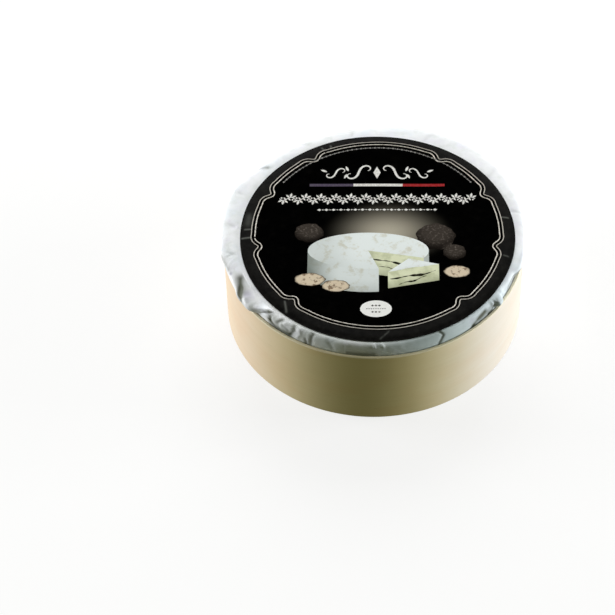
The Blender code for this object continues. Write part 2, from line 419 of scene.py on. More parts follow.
def veneer_material(look):
    """Peeled poplar with faint fibres and a few pores.

    Its tones along the strip paint light and shade, and a painted highlight pales its rim.
    """
    material, kit, shader = new_material("peeled_poplar", look.roughness, look.shine)
    strip = kit.add("ShaderNodeUVMap", uv_map="strip").outputs[0]
    along = kit.parts(strip)["X"]
    height = kit.parts(object_place(kit))["Z"]
    peach_end, front_shade_start, front_shade_end, right_light_start = (strip_place(angle) for angle in PAINTED_LIGHT_DRIFT)
    # Painted shade in front and painted light on the right, as tones by place round the hoop
    ground = kit.blend(kit.step(along, peach_end, front_shade_start), look.wood_peach, look.wood_front_painted_shade)
    ground = kit.blend(kit.step(along, front_shade_end, right_light_start), ground, look.wood_right_painted_light)
    # Painted highlight along the top edge, where the rim catches the light
    rim_painted_highlight = kit.step(height, HOOP_HEIGHT - 1.0 * MM, HOOP_HEIGHT, 0.0, 0.8)
    ground = kit.blend(rim_painted_highlight, ground, look.wood_rim_painted_highlight)
    fibres = kit.noise(strip, (26.0, 1500.0, 1.0), 3.0, 0.6)
    bands = kit.noise(strip, (7.0, 150.0, 1.0), shift=(3.1, 0.4, 0.0))
    patches = kit.noise(strip, (34.0, 62.0, 1.0), shift=(7.7, 2.9, 0.0))
    pores = kit.noise(strip, (170.0, 2600.0, 1.0), 1.0, shift=(1.3, 5.5, 0.0))
    specks = kit.noise(strip, (330.0, 420.0, 1.0), 1.0, shift=(9.0, 1.7, 0.0))
    grain = kit.weigh(0.6, fibres, bands)
    colour = kit.tint(kit.step(grain, 0.30, 0.70), ground, look.fibre_tint)
    colour = kit.tint(kit.step(patches, 0.42, 0.72), colour, look.patch_tint)
    marks = kit.step(pores, 0.68, 0.82, 0.0, 0.22)
    marks = kit.math("MAXIMUM", marks, kit.step(specks, 0.80, 0.88, 0.0, 0.5))
    kit.feed(shader, "Base Color", kit.blend(marks, colour, look.pore))
    add_bump(kit, shader, grain, 0.05 * MM, 0.4)
    return material


def base_material(look):
    """Sawn poplar with its grain straight across the disc."""
    material, kit, shader = new_material("sawn_poplar", look.roughness, look.shine)
    place = object_place(kit)
    fibres = kit.noise(place, (20.0, 1100.0, 300.0), 3.0, 0.6)
    bands = kit.noise(place, (5.0, 90.0, 20.0))
    pores = kit.noise(place, (130.0, 2200.0, 400.0), 1.0)
    grain = kit.weigh(0.5, fibres, bands)
    colour = kit.blend(kit.step(grain, 0.30, 0.70), look.base_dark, look.base_light)
    colour = kit.blend(kit.step(pores, 0.64, 0.78, 0.0, 0.4), colour, look.pore)
    kit.feed(shader, "Base Color", colour)
    add_bump(kit, shader, grain, 0.15 * MM, 0.6)
    return material


def film_material(look):
    """Pearly film over the rind: soft bluish white with lilac and grey clouds.

    Painted shade darkens it in its folds, in front and on the right.
    """
    material, kit, shader = new_material("pearly_film", specular=look.shine, Metallic=look.pearl)
    place = object_place(kit)
    colour = look.film_white
    clouds = ((look.film_cool, 60.0, 0.8), (look.film_lilac, 105.0, 0.7), (look.film_grey, 150.0, 0.55))
    for turn, (tint, scale, most) in enumerate(clouds):
        cloud = kit.noise(place, (scale, scale, scale), 3.0, 0.6, (4.0 * turn, turn, 0.0))
        colour = kit.blend(kit.step(cloud, 0.45, 0.72, 0.0, most), colour, tint)
    parts = kit.parts(place)
    # Painted shade: cooler on the right towards the front, and greyer all along the front
    right_shade_across = kit.step(parts["X"], -0.01, 0.03)
    right_shade_forward = kit.step(parts["Y"], 0.0, -0.05, 0.0, 0.9)
    colour = kit.blend(kit.math("MULTIPLY", right_shade_across, right_shade_forward), colour, look.film_right_painted_shade)
    colour = kit.tint(kit.step(parts["Y"], -0.055, -0.072), colour, look.film_front_painted_shade)
    colour = kit.blend(kit.mark("lilac"), colour, look.film_lilac_deep)
    # Painted shade in the folds and the crumples' creases, from the fold attribute
    kit.feed(shader, "Base Color", kit.blend(kit.mark("fold"), colour, look.film_fold_painted_shade))
    streaks = kit.noise(place, (420.0, 420.0, 160.0), 3.0, 0.65)
    crinkle = kit.noise(place, 800.0, 3.0, 0.6)
    kit.feed(shader, "Roughness", kit.step(streaks, 0.3, 0.7, look.roughness - 0.06, look.roughness + 0.10))
    add_bump(kit, shader, kit.weigh(0.6, streaks, crinkle), 0.10 * MM, 0.5)
    return material


def label_material(look):
    """Coated black paper with a faint mottle, worn in small scuffs.

    Along its creases it is paler: rubbed paper and a painted highlight.
    """
    material, kit, shader = new_material("label_paper", look.roughness, look.shine)
    place = object_place(kit)
    mottle = kit.noise(place, 260.0, 4.0, 0.7)
    scuffs = kit.noise(place, (90.0, 300.0, 90.0), 4.0, 0.7)
    colour = kit.blend(kit.step(mottle, 0.3, 0.75), look.edge_dark, look.edge_light)
    colour = kit.blend(kit.step(scuffs, 0.66, 0.85, 0.0, 0.6), colour, look.scuff)
    # Paler along the creases: rubbed paper and a painted highlight
    rubbed = kit.math("MULTIPLY", kit.mark("rubbed"), kit.step(mottle, 0.3, 0.5, 0.4, 1.0))
    kit.feed(shader, "Base Color", kit.blend(rubbed, colour, look.crease_rub_and_highlight))
    add_bump(kit, shader, mottle, 0.03 * MM, 0.5)
    return material


def glow_field_material(look):
    """The label's printed black field, with a soft warm glow behind the picture."""
    material, kit, shader = new_material("printed_black", look.roughness, look.field_shine)
    flatten = 1.5
    middle = (-look.glow_x - LABEL_X, -flatten * look.glow_y, 0.0)
    place = object_place(kit)
    spread = kit.scaled(place, (1.0, flatten, 0.0), middle)
    reach = kit.add("ShaderNodeVectorMath", {0: spread}, operation="LENGTH").outputs["Value"]
    glow = kit.math("POWER", kit.step(reach, 0.0, look.glow_reach, 1.0, 0.0), 1.6)
    mottle = kit.noise(place, 180.0, 4.0, 0.7)
    ground = kit.blend(kit.step(mottle, 0.45, 0.8), look.field, look.field_worn)
    kit.feed(shader, "Base Color", kit.blend(glow, ground, look.glow))
    return material


def ink_material(look, name, colour, second, scale=FINE_GRAIN, contrast=(0.4, 0.62), deep=None):
    """A printed colour with grains of a second one, deepening where the print's own tone says so."""
    material, kit, shader = new_material(name, look.roughness, look.field_shine)
    grain = kit.noise(object_place(kit), scale, 3.0, 0.6)
    mixed = kit.blend(kit.step(grain, *contrast), colour, second)
    if deep is not None:
        mixed = kit.blend(kit.mark("tone"), mixed, deep)
    kit.feed(shader, "Base Color", mixed)
    return material


def worn_ink(look, name, key):
    """A printed colour with grains of its own worn one, which the settings hold beside it."""
    return ink_material(look, name, getattr(look, key), getattr(look, key + "_worn"))


def wire_material():
    """Galvanised staple wire."""
    material, kit, shader = new_material("staple_wire", 0.35, 0.5, Metallic=1.0)
    grain = kit.noise(object_place(kit), 2500.0)
    kit.feed(shader, "Base Color", kit.blend(grain, (0.42, 0.42, 0.43), (0.66, 0.66, 0.68)))
    return material


def show(name, mesh, material=None, stands_for=None):
    """Puts a finished mesh in the scene as a piece of the object."""
    if material is not None:
        mesh.materials.clear()
        mesh.materials.append(material)
    piece = bpy.data.objects.new(name, mesh)
    bpy.context.scene.collection.objects.link(piece)
    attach(piece, BODY)
    if stands_for:
        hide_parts(stands_for)


def places_of(mesh):
    """The places of a mesh's points, one row for each."""
    flat = np.empty(len(mesh.vertices) * 3)
    mesh.vertices.foreach_get("co", flat)
    return flat.reshape(-1, 3)


def mark_points(mesh, name, values):
    """Gives each point of a mesh a value that its material reads."""
    mesh.attributes.new(name, "FLOAT", "POINT").data.foreach_set("value", values)


def build_mesh(name, points, faces, smooth_faces=True):
    mesh = bpy.data.meshes.new(name)
    mesh.from_pydata([tuple(p) for p in points], [], faces)
    mesh.validate()
    if smooth_faces:
        mesh.shade_smooth()
    return mesh


def stack_rings(rings):
    """Points and faces of a closed body through rings of equal length, with a pole at each end.

    Each ring is an array of points. The first and the last entry are single points.
    """
    first, last = rings[0], rings[-1]
    loops = rings[1:-1]
    count = len(loops[0])
    points = np.vstack([first.reshape(1, 3), *loops, last.reshape(1, 3)])
    faces = []
    for j in range(count):
        k = (j + 1) % count
        faces.append((0, 1 + k, 1 + j))
        for row in range(len(loops) - 1):
            low = 1 + row * count
            high = low + count
            faces.append((low + j, low + k, high + k, high + j))
        top = 1 + (len(loops) - 1) * count
        faces.append((top + j, top + k, len(points) - 1))
    return points, faces


def face_out(mesh):
    """Turns a closed mesh's faces outwards, if they point in."""
    mesh.calc_loop_triangles()
    corners = np.empty(len(mesh.loop_triangles) * 3, dtype=np.int32)
    mesh.loop_triangles.foreach_get("vertices", corners)
    places = places_of(mesh)
    a, b, c = (places[corners.reshape(-1, 3)[:, i]] for i in range(3))
    if np.einsum("ij,ij->i", a, np.cross(b, c)).sum() < 0:
        mesh.flip_normals()


def grow(name, tree, start, inputs):
    """Runs a Geometry Nodes tree on a start mesh and gives the result as a plain mesh."""
    maker = bpy.data.objects.new(name + "_maker", start)
    bpy.context.scene.collection.objects.link(maker)
    modifier = maker.modifiers.new("shape", "NODES")
    modifier.node_group = tree
    sockets = {item.name: item.identifier for item in tree.interface.items_tree if item.in_out == "INPUT"}
    for key, value in inputs.items():
        modifier[sockets[key]] = value
    evaluated = maker.evaluated_get(bpy.context.evaluated_depsgraph_get())
    mesh = bpy.data.meshes.new_from_object(evaluated)
    mesh.name = name
    maker.modifiers.remove(modifier)
    bpy.data.objects.remove(maker, do_unlink=True)
    return mesh


def new_tree(name, inputs):
    """An empty Geometry Nodes tree with a geometry in and out and the named inputs, each with its kind."""
    tree = bpy.data.node_groups.new(name, "GeometryNodeTree")
    tree.interface.new_socket("Geometry", in_out="OUTPUT", socket_type="NodeSocketGeometry")
    for key, kind in (("Geometry", "Geometry"), *inputs):
        tree.interface.new_socket(key, in_out="INPUT", socket_type="NodeSocket" + kind)
    kit = NodeKit(tree)
    return tree, kit, kit.add("NodeGroupInput").outputs, kit.add("NodeGroupOutput")


def finish_tree(kit, geometry, material, out):
    """Ends a tree: real geometry in place of instances, with its material set."""
    real = kit.add("GeometryNodeRealizeInstances", {"Geometry": geometry}).outputs[0]
    dressed = kit.add("GeometryNodeSetMaterial", {"Geometry": real, "Material": material}).outputs[0]
    kit.feed(out, "Geometry", dressed)


def hoop_tree():
    """Bends the strip's section round the box, with its lap and a slight unevenness."""
    tree, kit, given, out = new_tree("bent_hoop", (
        ("Radius", "Float"),
        ("Veneer", "Float"),
        ("Steps", "Int"),
        ("Lap step", "Float"),
        ("Lap span", "Float"),
        ("Lap ramp", "Float"),
        ("Lap rise", "Float"),
        ("Unevenness", "Float"),
        ("Material", "Material"),
    ))
    middle = kit.math("SUBTRACT", given["Radius"], kit.math("MULTIPLY", given["Veneer"], 0.5))
    circle = {"Resolution": given["Steps"], "Radius": middle}
    ring = kit.add("GeometryNodeCurvePrimitiveCircle", circle).outputs[0]
    section = kit.add("GeometryNodeMeshToCurve", {"Mesh": given["Geometry"]}).outputs[0]
    strip = kit.add("GeometryNodeCurveToMesh", {"Curve": ring, "Profile Curve": section}).outputs[0]
    place = kit.add("GeometryNodeInputPosition").outputs[0]
    parts = kit.parts(place)
    flat = kit.add("ShaderNodeCombineXYZ", {"X": parts["X"], "Y": parts["Y"]}).outputs[0]
    across = kit.add("ShaderNodeVectorMath", {0: flat}, operation="LENGTH").outputs["Value"]
    outward = kit.add("ShaderNodeVectorMath", {0: flat}, operation="NORMALIZE").outputs[0]
    turn = kit.math("DEGREES", kit.math("ARCTAN2", parts["Y"], parts["X"]))
    along = kit.math("FLOORED_MODULO", kit.math("SUBTRACT", turn, given["Lap step"]), 360.0)
    ramp_end = kit.math("ADD", given["Lap span"], given["Lap ramp"])
    lap = kit.step(along, given["Lap span"], ramp_end, 1.0, 0.0)
    outer = kit.math("GREATER_THAN", across, middle)
    rise = kit.math("MULTIPLY", kit.math("MULTIPLY", lap, outer), given["Lap rise"])
    wander = kit.math("SUBTRACT", kit.noise(place, 38.0), 0.5)
    wander = kit.math("MULTIPLY", wander, kit.math("MULTIPLY", given["Unevenness"], 2.0))
    push = {0: outward, "Scale": kit.math("ADD", rise, wander)}
    offset = kit.add("ShaderNodeVectorMath", push, operation="SCALE").outputs[0]
    bent = kit.add("GeometryNodeSetPosition", {"Geometry": strip, "Offset": offset}).outputs[0]
    finish_tree(kit, bent, given["Material"], out)
    return tree


def row_tree():
    """Sets copies of a motif along a path, turned to follow it, with every second one at another size."""
    tree, kit, given, out = new_tree("row_of_motifs", (
        ("Motif", "Object"),
        ("Count", "Int"),
        ("Size", "Float"),
        ("Size of every second", "Float"),
        ("Material", "Material"),
    ))
    path = kit.add("GeometryNodeMeshToCurve", {"Mesh": given["Geometry"]}).outputs[0]
    along = {"Curve": path, "Count": given["Count"]}
    spots = kit.add("GeometryNodeCurveToPoints", along, mode="COUNT").outputs
    ahead = {"Vector": spots["Tangent"]}
    turned = kit.add("FunctionNodeAlignRotationToVector", ahead, axis="X", pivot_axis="Z")
    second = kit.math("MODULO", kit.add("GeometryNodeInputIndex").outputs[0], 2.0)
    extra = kit.math("SUBTRACT", given["Size of every second"], given["Size"])
    size = kit.math("ADD", given["Size"], kit.math("MULTIPLY", second, extra))
    copies = kit.add("GeometryNodeInstanceOnPoints", {
        "Points": spots["Points"],
        "Instance": kit.add("GeometryNodeObjectInfo", {"Object": given["Motif"]}).outputs["Geometry"],
        "Rotation": turned.outputs[0],
        "Scale": kit.add("ShaderNodeCombineXYZ", {"X": size, "Y": size, "Z": size}).outputs[0],
    }).outputs[0]
    finish_tree(kit, copies, given["Material"], out)
    return tree


def line_tree():
    """Draws a flat line of a given width along a path."""
    tree, kit, given, out = new_tree("printed_line", (
        ("Width", "Float"),
        ("Thickness", "Float"),
        ("Material", "Material"),
    ))
    path = kit.add("GeometryNodeMeshToCurve", {"Mesh": given["Geometry"]}).outputs[0]
    level = kit.add("GeometryNodeSetCurveNormal", {"Curve": path}, mode="Z_UP").outputs[0]
    shape = {"Width": given["Width"], "Height": given["Thickness"]}
    section = kit.add("GeometryNodeCurvePrimitiveQuadrilateral", shape).outputs[0]
    drawn = {"Curve": level, "Profile Curve": section, "Fill Caps": True}
    line = kit.add("GeometryNodeCurveToMesh", drawn).outputs[0]
    finish_tree(kit, line, given["Material"], out)
    return tree


def path_mesh(name, points, closed=False):
    """A chain of edges through 2D or 3D points."""
    edges = [(i, i + 1) for i in range(len(points) - 1)]
    if closed:
        edges.append((len(points) - 1, 0))
    mesh = bpy.data.meshes.new(name)
    mesh.from_pydata([(*p, 0.0)[:3] for p in points], edges, [])
    return mesh


def set_in_row(name, motif, path, count, material, second_size=1.0):
    """Copies of a motif's mesh along a path, as one mesh. The motif's own object is removed again."""
    source = bpy.data.objects.new(name + "_motif", motif)
    bpy.context.scene.collection.objects.link(source)
    mesh = grow(name, row_tree(), path_mesh(name + "_path", path), {
        "Motif": source,
        "Count": count,
        "Size": 1.0,
        "Size of every second": second_size,
        "Material": material,
    })
    bpy.data.objects.remove(source, do_unlink=True)
    return mesh


def make_hoop(context):
    """The bent strip of veneer, from its section, with the grain's own map running along it."""
    look = context.scene.brie_hoop
    half, edge = look.veneer / 2, look.eased_edge
    low, high = edge, HOOP_HEIGHT - edge
    heights = np.linspace(low, high, look.rows)
    section = [(half, h) for h in heights] + [(half - edge, HOOP_HEIGHT), (edge - half, HOOP_HEIGHT)]
    section += [(-half, h) for h in heights[::-1]] + [(edge - half, 0.0), (half - edge, 0.0)]
    # Curve to Mesh points a section's Y down on this ring
    section = [(across, -up) for across, up in section]
    mesh = grow("hoop", hoop_tree(), path_mesh("hoop_section", section, closed=True), {
        "Radius": HOOP_RADIUS,
        "Veneer": look.veneer,
        "Steps": look.steps,
        "Lap step": LAP_STEP,
        "Lap span": LAP_SPAN,
        "Lap ramp": LAP_RAMP,
        "Lap rise": LAP_RISE,
        "Unevenness": look.unevenness,
        "Material": veneer_material(look),
    })
    face_out(mesh)
    map_strip(mesh)
    mesh.shade_smooth()
    mesh.set_sharp_from_angle(angle=math.radians(40))
    show("hoop", mesh, stands_for="box_hoop")


def map_strip(mesh):
    """A map along the strip in metres: length round the hoop, and the way up or through it."""
    corner = np.empty(len(mesh.loops), dtype=np.int32)
    mesh.loops.foreach_get("vertex_index", corner)
    x, y, z = places_of(mesh)[corner].T
    along = (np.degrees(np.arctan2(y, x)) - LAP_STEP) % 360.0
    # A face that crosses the step keeps all its corners on the same side of it
    owner = np.empty(len(corner), dtype=np.int32)
    for polygon in mesh.polygons:
        owner[polygon.loop_start:polygon.loop_start + polygon.loop_total] = polygon.index
    highest = np.zeros(len(mesh.polygons))
    np.maximum.at(highest, owner, along)
    along = np.where((highest[owner] > 350.0) & (along < 10.0), along + 360.0, along)
    up = z + 2 * (np.hypot(x, y) - HOOP_RADIUS)
    strip = np.stack([np.radians(along) * HOOP_RADIUS, up], axis=1)
    mesh.uv_layers.new(name="strip").data.foreach_set("uv", strip.ravel())


def climb_and_spread(angle):
    """How far the film has climbed over the rim and how far it has spread out over it, each from 0 to 1."""
    middle = (TUCK_START + TUCK_END) / 2
    half = (TUCK_END - TUCK_START) / 2
    free = (np.abs(apart(angle, middle)) - half) / TUCK_BLEND + 0.5
    free = np.maximum(free, hump(angle, *TONGUE))
    return smooth(free / CLIMB_SHARE), smooth((free - 1 + CLIMB_SHARE) / CLIMB_SHARE)


def lip(angle):
    """The radius and the height of the film's widest line."""
    climbed, spread = climb_and_spread(angle)
    out, up = 0.0, 0.0
    for middle, before, after, far, high in BULGES:
        bulge = hump(angle, middle, before, after)
        out = out + bulge * far
        up = up + bulge * high
    tucked = HOOP_HEIGHT - TUCK_DEPTH
    clear = HOOP_HEIGHT + LIP_CLEARANCE + LIP_ROUND + up
    return WHEEL_RADIUS + spread * (LIP_RADIUS + out - WHEEL_RADIUS), tucked + climbed * (clear - tucked)


def sampled(function, x, y, z):
    """A mathutils noise function at many places."""
    flat = [function(Vector(p)) for p in zip(np.ravel(x), np.ravel(y), np.ravel(z))]
    return np.array(flat).reshape(np.shape(x))


def creased(x, y, z):
    """A noise with sharp creases, from 0 in the creases to 1."""
    return np.minimum(2 * np.abs(sampled(noise.noise, x, y, z)), 1.0)


def fold_place(angle, climb, path):
    """Millimetres from a fold's path, and to which side of it, for places on the shoulder."""
    nearest = np.full_like(angle, np.inf)
    nearest_side = np.zeros_like(angle)
    for (start, low), (end, high) in zip(path, path[1:]):
        run = math.radians(apart(end, start)) * HOOP_RADIUS / MM
        rise = (high - low) * SHOULDER_LENGTH
        reach = math.hypot(run, rise)
        along = np.radians(apart(angle, start)) * HOOP_RADIUS / MM
        up = (climb - low) * SHOULDER_LENGTH
        share = np.clip((along * run + up * rise) / reach ** 2, 0.0, 1.0)
        off = np.hypot(along - share * run, up - share * rise)
        nearest_side = np.where(off < nearest, (up * run - along * rise) / reach, nearest_side)
        nearest = np.minimum(off, nearest)
    return nearest, nearest_side


def film_relief(look, angle, climb, radius, height):
    """How far the film stands off its smooth form, and its folds' painted shade, from 0 to 1."""
    relief = np.zeros_like(angle)
    deep = np.zeros_like(angle)
    for path, width, depth, shade in FOLDS:
        off, side = fold_place(angle, climb, path)
        near = np.exp(-((off / width) ** 1.6))
        flap = np.exp(-((off / (1.6 * width)) ** 2)) * np.exp(-((side / width - 1.3) ** 2))
        relief += 0.3 * max(depth, 0.0) * flap - depth * near
        deep += shade * near
    # Crumples run down the shoulder in crescents, leaning round as they go, with sharp creases between them
    strength = sum(high * hump(angle, middle, half, half) for middle, half, high in CRUMPLES)
    around = np.radians(angle) * HOOP_RADIUS / MM
    down = climb * SHOULDER_LENGTH
    stray = CRUMPLE_STRAY * sampled(noise.noise, around / 7.0, down / 6.0, np.full_like(around, 3.3))
    bow = CRUMPLE_BOW * np.sin(math.pi * climb)
    across = (around + CRUMPLE_LEAN * down + bow) / CRUMPLE_WIDTH + stray
    large = creased(across, down / CRUMPLE_LENGTH, np.full_like(around, 0.4))
    small = creased(across * 2.3 + 4.0, down / 4.0, np.full_like(around, 7.1))
    fade = np.sin(math.pi * np.clip(0.10 + 0.86 * climb, 0, 1)) ** 0.6
    relief += strength * fade * (1.2 * large ** 0.7 + 0.35 * small ** 0.7 - 0.9)
    # Painted shade darkens the crumples' creases
    deep += strength * fade * (0.9 * np.exp(-large / 0.16) + 0.35 * np.exp(-small / 0.14))
    x, y = round_path(radius, angle).T
    broad = creased(x * BROAD_CRINKLE, y * BROAD_CRINKLE, height * BROAD_CRINKLE)
    fine = creased(x * FINE_CRINKLE + 5, y * FINE_CRINKLE, height * FINE_CRINKLE)
    relief += (look.crinkle / MM) * (0.8 * (broad - 0.4) + 0.35 * (fine - 0.4)) * (0.3 + 0.7 * fade)
    return relief * look.fold_depth * MM, np.clip(deep, 0.0, 1.0)


def lilac_share(angle, climb):
    """How lilac the film is at places on the shoulder, from 0 to 1."""
    share = np.zeros_like(angle)
    for middle, up, half_width, half_height, strength in PATCHES:
        along = np.radians(apart(angle, middle)) * HOOP_RADIUS / MM / half_width
        rise = (climb - up) * SHOULDER_LENGTH / half_height
        share = np.maximum(share, strength * np.exp(-along ** 2 - rise ** 2))
    return share


def film_section(look, angle):
    """The film's rings from foot to flat top: radius, height, painted fold shade and lilac share of each.
    """
    radius, height = lip(angle)
    climbed, _ = climb_and_spread(angle)
    plain = np.zeros_like(angle)
    rings = []
    for turn in np.radians((0.0, 30.0, 60.0, 90.0)):
        across = WHEEL_RADIUS - WHEEL_FOOT_ROUND * (1 - math.sin(turn))
        up = WHEEL_FOOT + WHEEL_FOOT_ROUND * (1 - math.cos(turn))
        rings.append((plain + across, plain + up, plain, plain))
    rings.append((plain + WHEEL_RADIUS, plain + HOOP_HEIGHT - STRAIGHT_END, plain, plain))
    edge = HOOP_HEIGHT - TUCK_DEPTH - TUCK_EDGE
    neck = edge + climbed * (HOOP_HEIGHT + LIP_CLEARANCE - edge)
    stand, deep = film_relief(look, angle, plain, radius, height)
    for turn in np.radians(np.linspace(0.0, 80.0, look.underside_rows)):
        across = WHEEL_RADIUS + (radius - WHEEL_RADIUS) * math.sin(turn)
        up = neck + (height - neck) * (1 - math.cos(turn))
        rings.append((across + stand * math.sin(turn) ** 2, up, deep * math.sin(turn), plain))
    power = 2 / SHOULDER_FULLNESS
    for climb in np.linspace(0.0, 1.0, look.shoulder_rows):
        turn = climb * math.pi / 2
        across = FLAT_RADIUS + (radius - FLAT_RADIUS) * math.cos(turn) ** power
        up = height + (WHEEL_TOP - height) * math.sin(turn) ** power
        level = plain + climb
        stand, deep = film_relief(look, angle, level, across, up)
        across = across + stand * math.cos(turn)
        rings.append((across, up + stand * math.sin(turn), deep, lilac_share(angle, level)))
    return rings


def make_film(context):
    """The film over the wheel: a fine skin from its foot to its top, closed by a pole at each end."""
    look = context.scene.brie_film
    turn = all_round(look.steps)
    rings = film_section(look, turn)
    # The flat top keeps the lilac share that the shoulder ends with
    rings += [(FLAT_RADIUS * share, WHEEL_TOP, 0.0, rings[-1][3]) for share in FLAT_SHARES]
    plain = np.zeros_like(turn)
    loops, fold_shades, lilacs = [], [0.0], [0.0]
    for radius, height, deep, lilac in rings:
        x, y = round_path(radius, turn).T
        z = plain + height
        # The broad ripple fades in over the last of the shoulder, and the label's paper keeps the film down
        z = z + smooth((z - WHEEL_TOP + RIPPLE_FADE) / RIPPLE_FADE) * ripple(x, y)
        under = smooth((LABEL_RADIUS + PRESS_WIDTH - np.hypot(x - LABEL_X, y)) / PRESS_WIDTH)
        lid = WHEEL_TOP + ripple(x, y) + PRESS_GAP + (1 - under) * FREE_RISE
        loops.append(np.stack([x, y, np.minimum(z, lid)], axis=1))
        fold_shades.extend(plain + deep)
        lilacs.extend(lilac)
    foot, crown = np.array([0.0, 0.0, WHEEL_FOOT]), np.array([0.0, 0.0, WHEEL_TOP])
    points, faces = stack_rings([foot, *loops, crown])
    mesh = build_mesh("film_wrap", points, faces)
    # The fold attribute carries painted shade in the folds and creases
    mark_points(mesh, "fold", [*fold_shades, 0.0])
    mark_points(mesh, "lilac", [*lilacs, 0.0])
    face_out(mesh)
    show("film_wrap", mesh, film_material(look), "wrapped_wheel")


def make_label(context):
    """The label: a thin disc of paper that follows the top, droops at its edge and has a few creases."""
    look = context.scene.brie_label
    turn = np.radians(all_round(look.steps))
    wave = sum(high * np.sin(count * turn + start) for count, high, start in LABEL_WAVES)
    shares = [*np.linspace(0.05, 0.84, look.rows), *np.linspace(0.85, 1.0, look.edge_rows)]
    top = []
    for share in shares:
        reach = LABEL_RADIUS * share * (1 + wave * share ** 4)
        x, y = LABEL_X + reach * np.cos(turn), reach * np.sin(turn)
        top.append(np.stack([x, y, label_height(x, y)], axis=1))
    centre = np.array([LABEL_X, 0.0, float(label_height(LABEL_X, 0.0))])
    paper = np.array([0.0, 0.0, PAPER_THICKNESS])
    points, faces = stack_rings([centre - paper, top[-1] - paper, *top[::-1], centre])
    mesh = build_mesh("label_sheet", points, faces)
    # Paler paper along the creases: rub and a painted highlight
    mark_points(mesh, "rubbed", np.clip(crease_height(*points.T[:2]) / RUB_AND_HIGHLIGHT_HEIGHT, 0.0, 1.0))
    face_out(mesh)
    mesh.set_sharp_from_angle(angle=math.radians(50))
    show("label_sheet", mesh, label_material(look), "label")


def crease_height(x, y):
    """How far the label's creases stand up at places on it, in millimetres."""
    height = 0.0
    for middle_x, middle_y, heading, length, half_width, rise in CREASES:
        along_x, along_y = math.cos(math.radians(heading)), math.sin(math.radians(heading))
        off_x, off_y = (x - LABEL_X) / MM - middle_x, y / MM - middle_y
        along = off_x * along_x + off_y * along_y
        across = off_y * along_x - off_x * along_y - 0.05 * along ** 2 / length
        ends = smooth((length / 2 - np.abs(along)) / (3 * half_width))
        height = height + rise * np.exp(-((across / half_width) ** 2)) * ends
    return height


def label_height(x, y):
    """The height of the label's face: the top's ripple, a droop at the edge and the creases."""
    reach = np.hypot(x - LABEL_X, y)
    droop = LABEL_DROOP * smooth((reach - LABEL_RADIUS + LABEL_DROOP_WIDTH) / LABEL_DROOP_WIDTH) ** 2
    return LABEL_TOP + ripple(x, y) - droop + crease_height(x, y) * MM


def cartouche(angle):
    """The frame's distance from the label's middle: round, printed a little high, with notches."""
    reach = FRAME_REACH + FRAME_SHIFT * np.sin(np.radians(angle))
    for notch in NOTCHES:
        off = np.abs(apart(angle, notch)) / NOTCH_HALF_WIDTH
        reach = reach - NOTCH_DEPTH * np.exp(-((off / 0.42) ** 1.7))
        reach = reach + NOTCH_SHOULDER * np.exp(-(((off - 1.05) / 0.32) ** 2))
    return reach


def leftwards(ahead):
    """Unit steps to the left of the given ones."""
    ahead = ahead / np.linalg.norm(ahead, axis=1, keepdims=True)
    return np.stack([-ahead[:, 1], ahead[:, 0]], axis=1)


def offset_path(points, distance):
    """A closed path moved sideways, inwards for a path that runs anticlockwise."""
    return points + distance * leftwards(np.roll(points, -1, axis=0) - np.roll(points, 1, axis=0))


def thicken(points, faces, thickness):
    """A sheet made a closed thin body: a copy underneath, and walls on its open edges."""
    count = len(points)
    under = points - np.array([0.0, 0.0, thickness])
    edges = dict.fromkeys(pair for face in faces for pair in zip(face, face[1:] + face[:1]))
    walls = [(b, a, a + count, b + count) for a, b in edges if (b, a) not in edges]
    lower = [tuple(i + count for i in reversed(face)) for face in faces]
    return np.vstack([points, under]), faces + lower + walls


def patch(outline, rings=6, centre=None):
    """A flat sheet inside an outline of 2D points that runs anticlockwise round its centre."""
    outline = np.asarray(outline, dtype=float)
    middle = outline.mean(axis=0) if centre is None else np.asarray(centre)
    count = len(outline)
    loops = [middle + (outline - middle) * ring / rings for ring in range(1, rings + 1)]
    faces = []
    for j in range(count):
        k = (j + 1) % count
        faces.append((0, 1 + j, 1 + k))
        for low in range(1, 1 + (rings - 1) * count, count):
            faces.append((low + j, low + count + j, low + count + k, low + k))
    return np.vstack([middle, *loops]), faces


def ribbon(right, left, rows=3):
    """A flat sheet between two lines of 2D points that run the same way, the second on the first's left."""
    count = len(right)
    points = np.vstack([right + (left - right) * row / rows for row in range(rows + 1)])
    faces = []
    for row in range(rows):
        for low in range(row * count, row * count + count - 1):
            faces.append((low, low + 1, low + count + 1, low + count))
    return points, faces


def stroke(path, widths):
    """A flat brush stroke along a path, with its width at each point."""
    left = leftwards(np.gradient(path, axis=0)) * widths[:, None] / 2
    return ribbon(path - left, path + left, 2)


def ellipse(x, y, half_width, half_height, count=72):
    return round_path(1.0, all_round(count)) * (half_width, half_height) + (x, y)


def dot(half_width, half_height, count=10):
    """A small flat round sheet."""
    return patch(ellipse(0.0, 0.0, half_width, half_height, count), 1)


def lozenge(half_width, half_height, rings=1):
    """A flat lozenge that stands on its point."""
    corners = [(half_width, 0.0), (0.0, half_height), (-half_width, 0.0), (0.0, -half_height)]
    return patch(corners, rings)


def leaf(length, width, count=14):
    """A pointed leaf that lies along +X from the origin."""
    share = np.linspace(0.0, 1.0, count)
    path = np.column_stack([length * share, 0 * share])
    half = np.column_stack([0 * share, width / 2 * np.sin(math.pi * share ** 0.85)])
    return ribbon(path - half, path + half, 2)


def placed(sheet, x=0.0, y=0.0, turn=0.0, mirror=False):
    """A flat sheet turned, and mirrored across its Y axis if asked, and moved."""
    points, faces = sheet
    points = points.copy()
    if mirror:
        points[:, 0] *= -1
        faces = [tuple(reversed(face)) for face in faces]
    lean = math.radians(turn)
    spin = np.array([[math.cos(lean), math.sin(lean)], [-math.sin(lean), math.cos(lean)]])
    return points @ spin + np.array([x, y]), faces


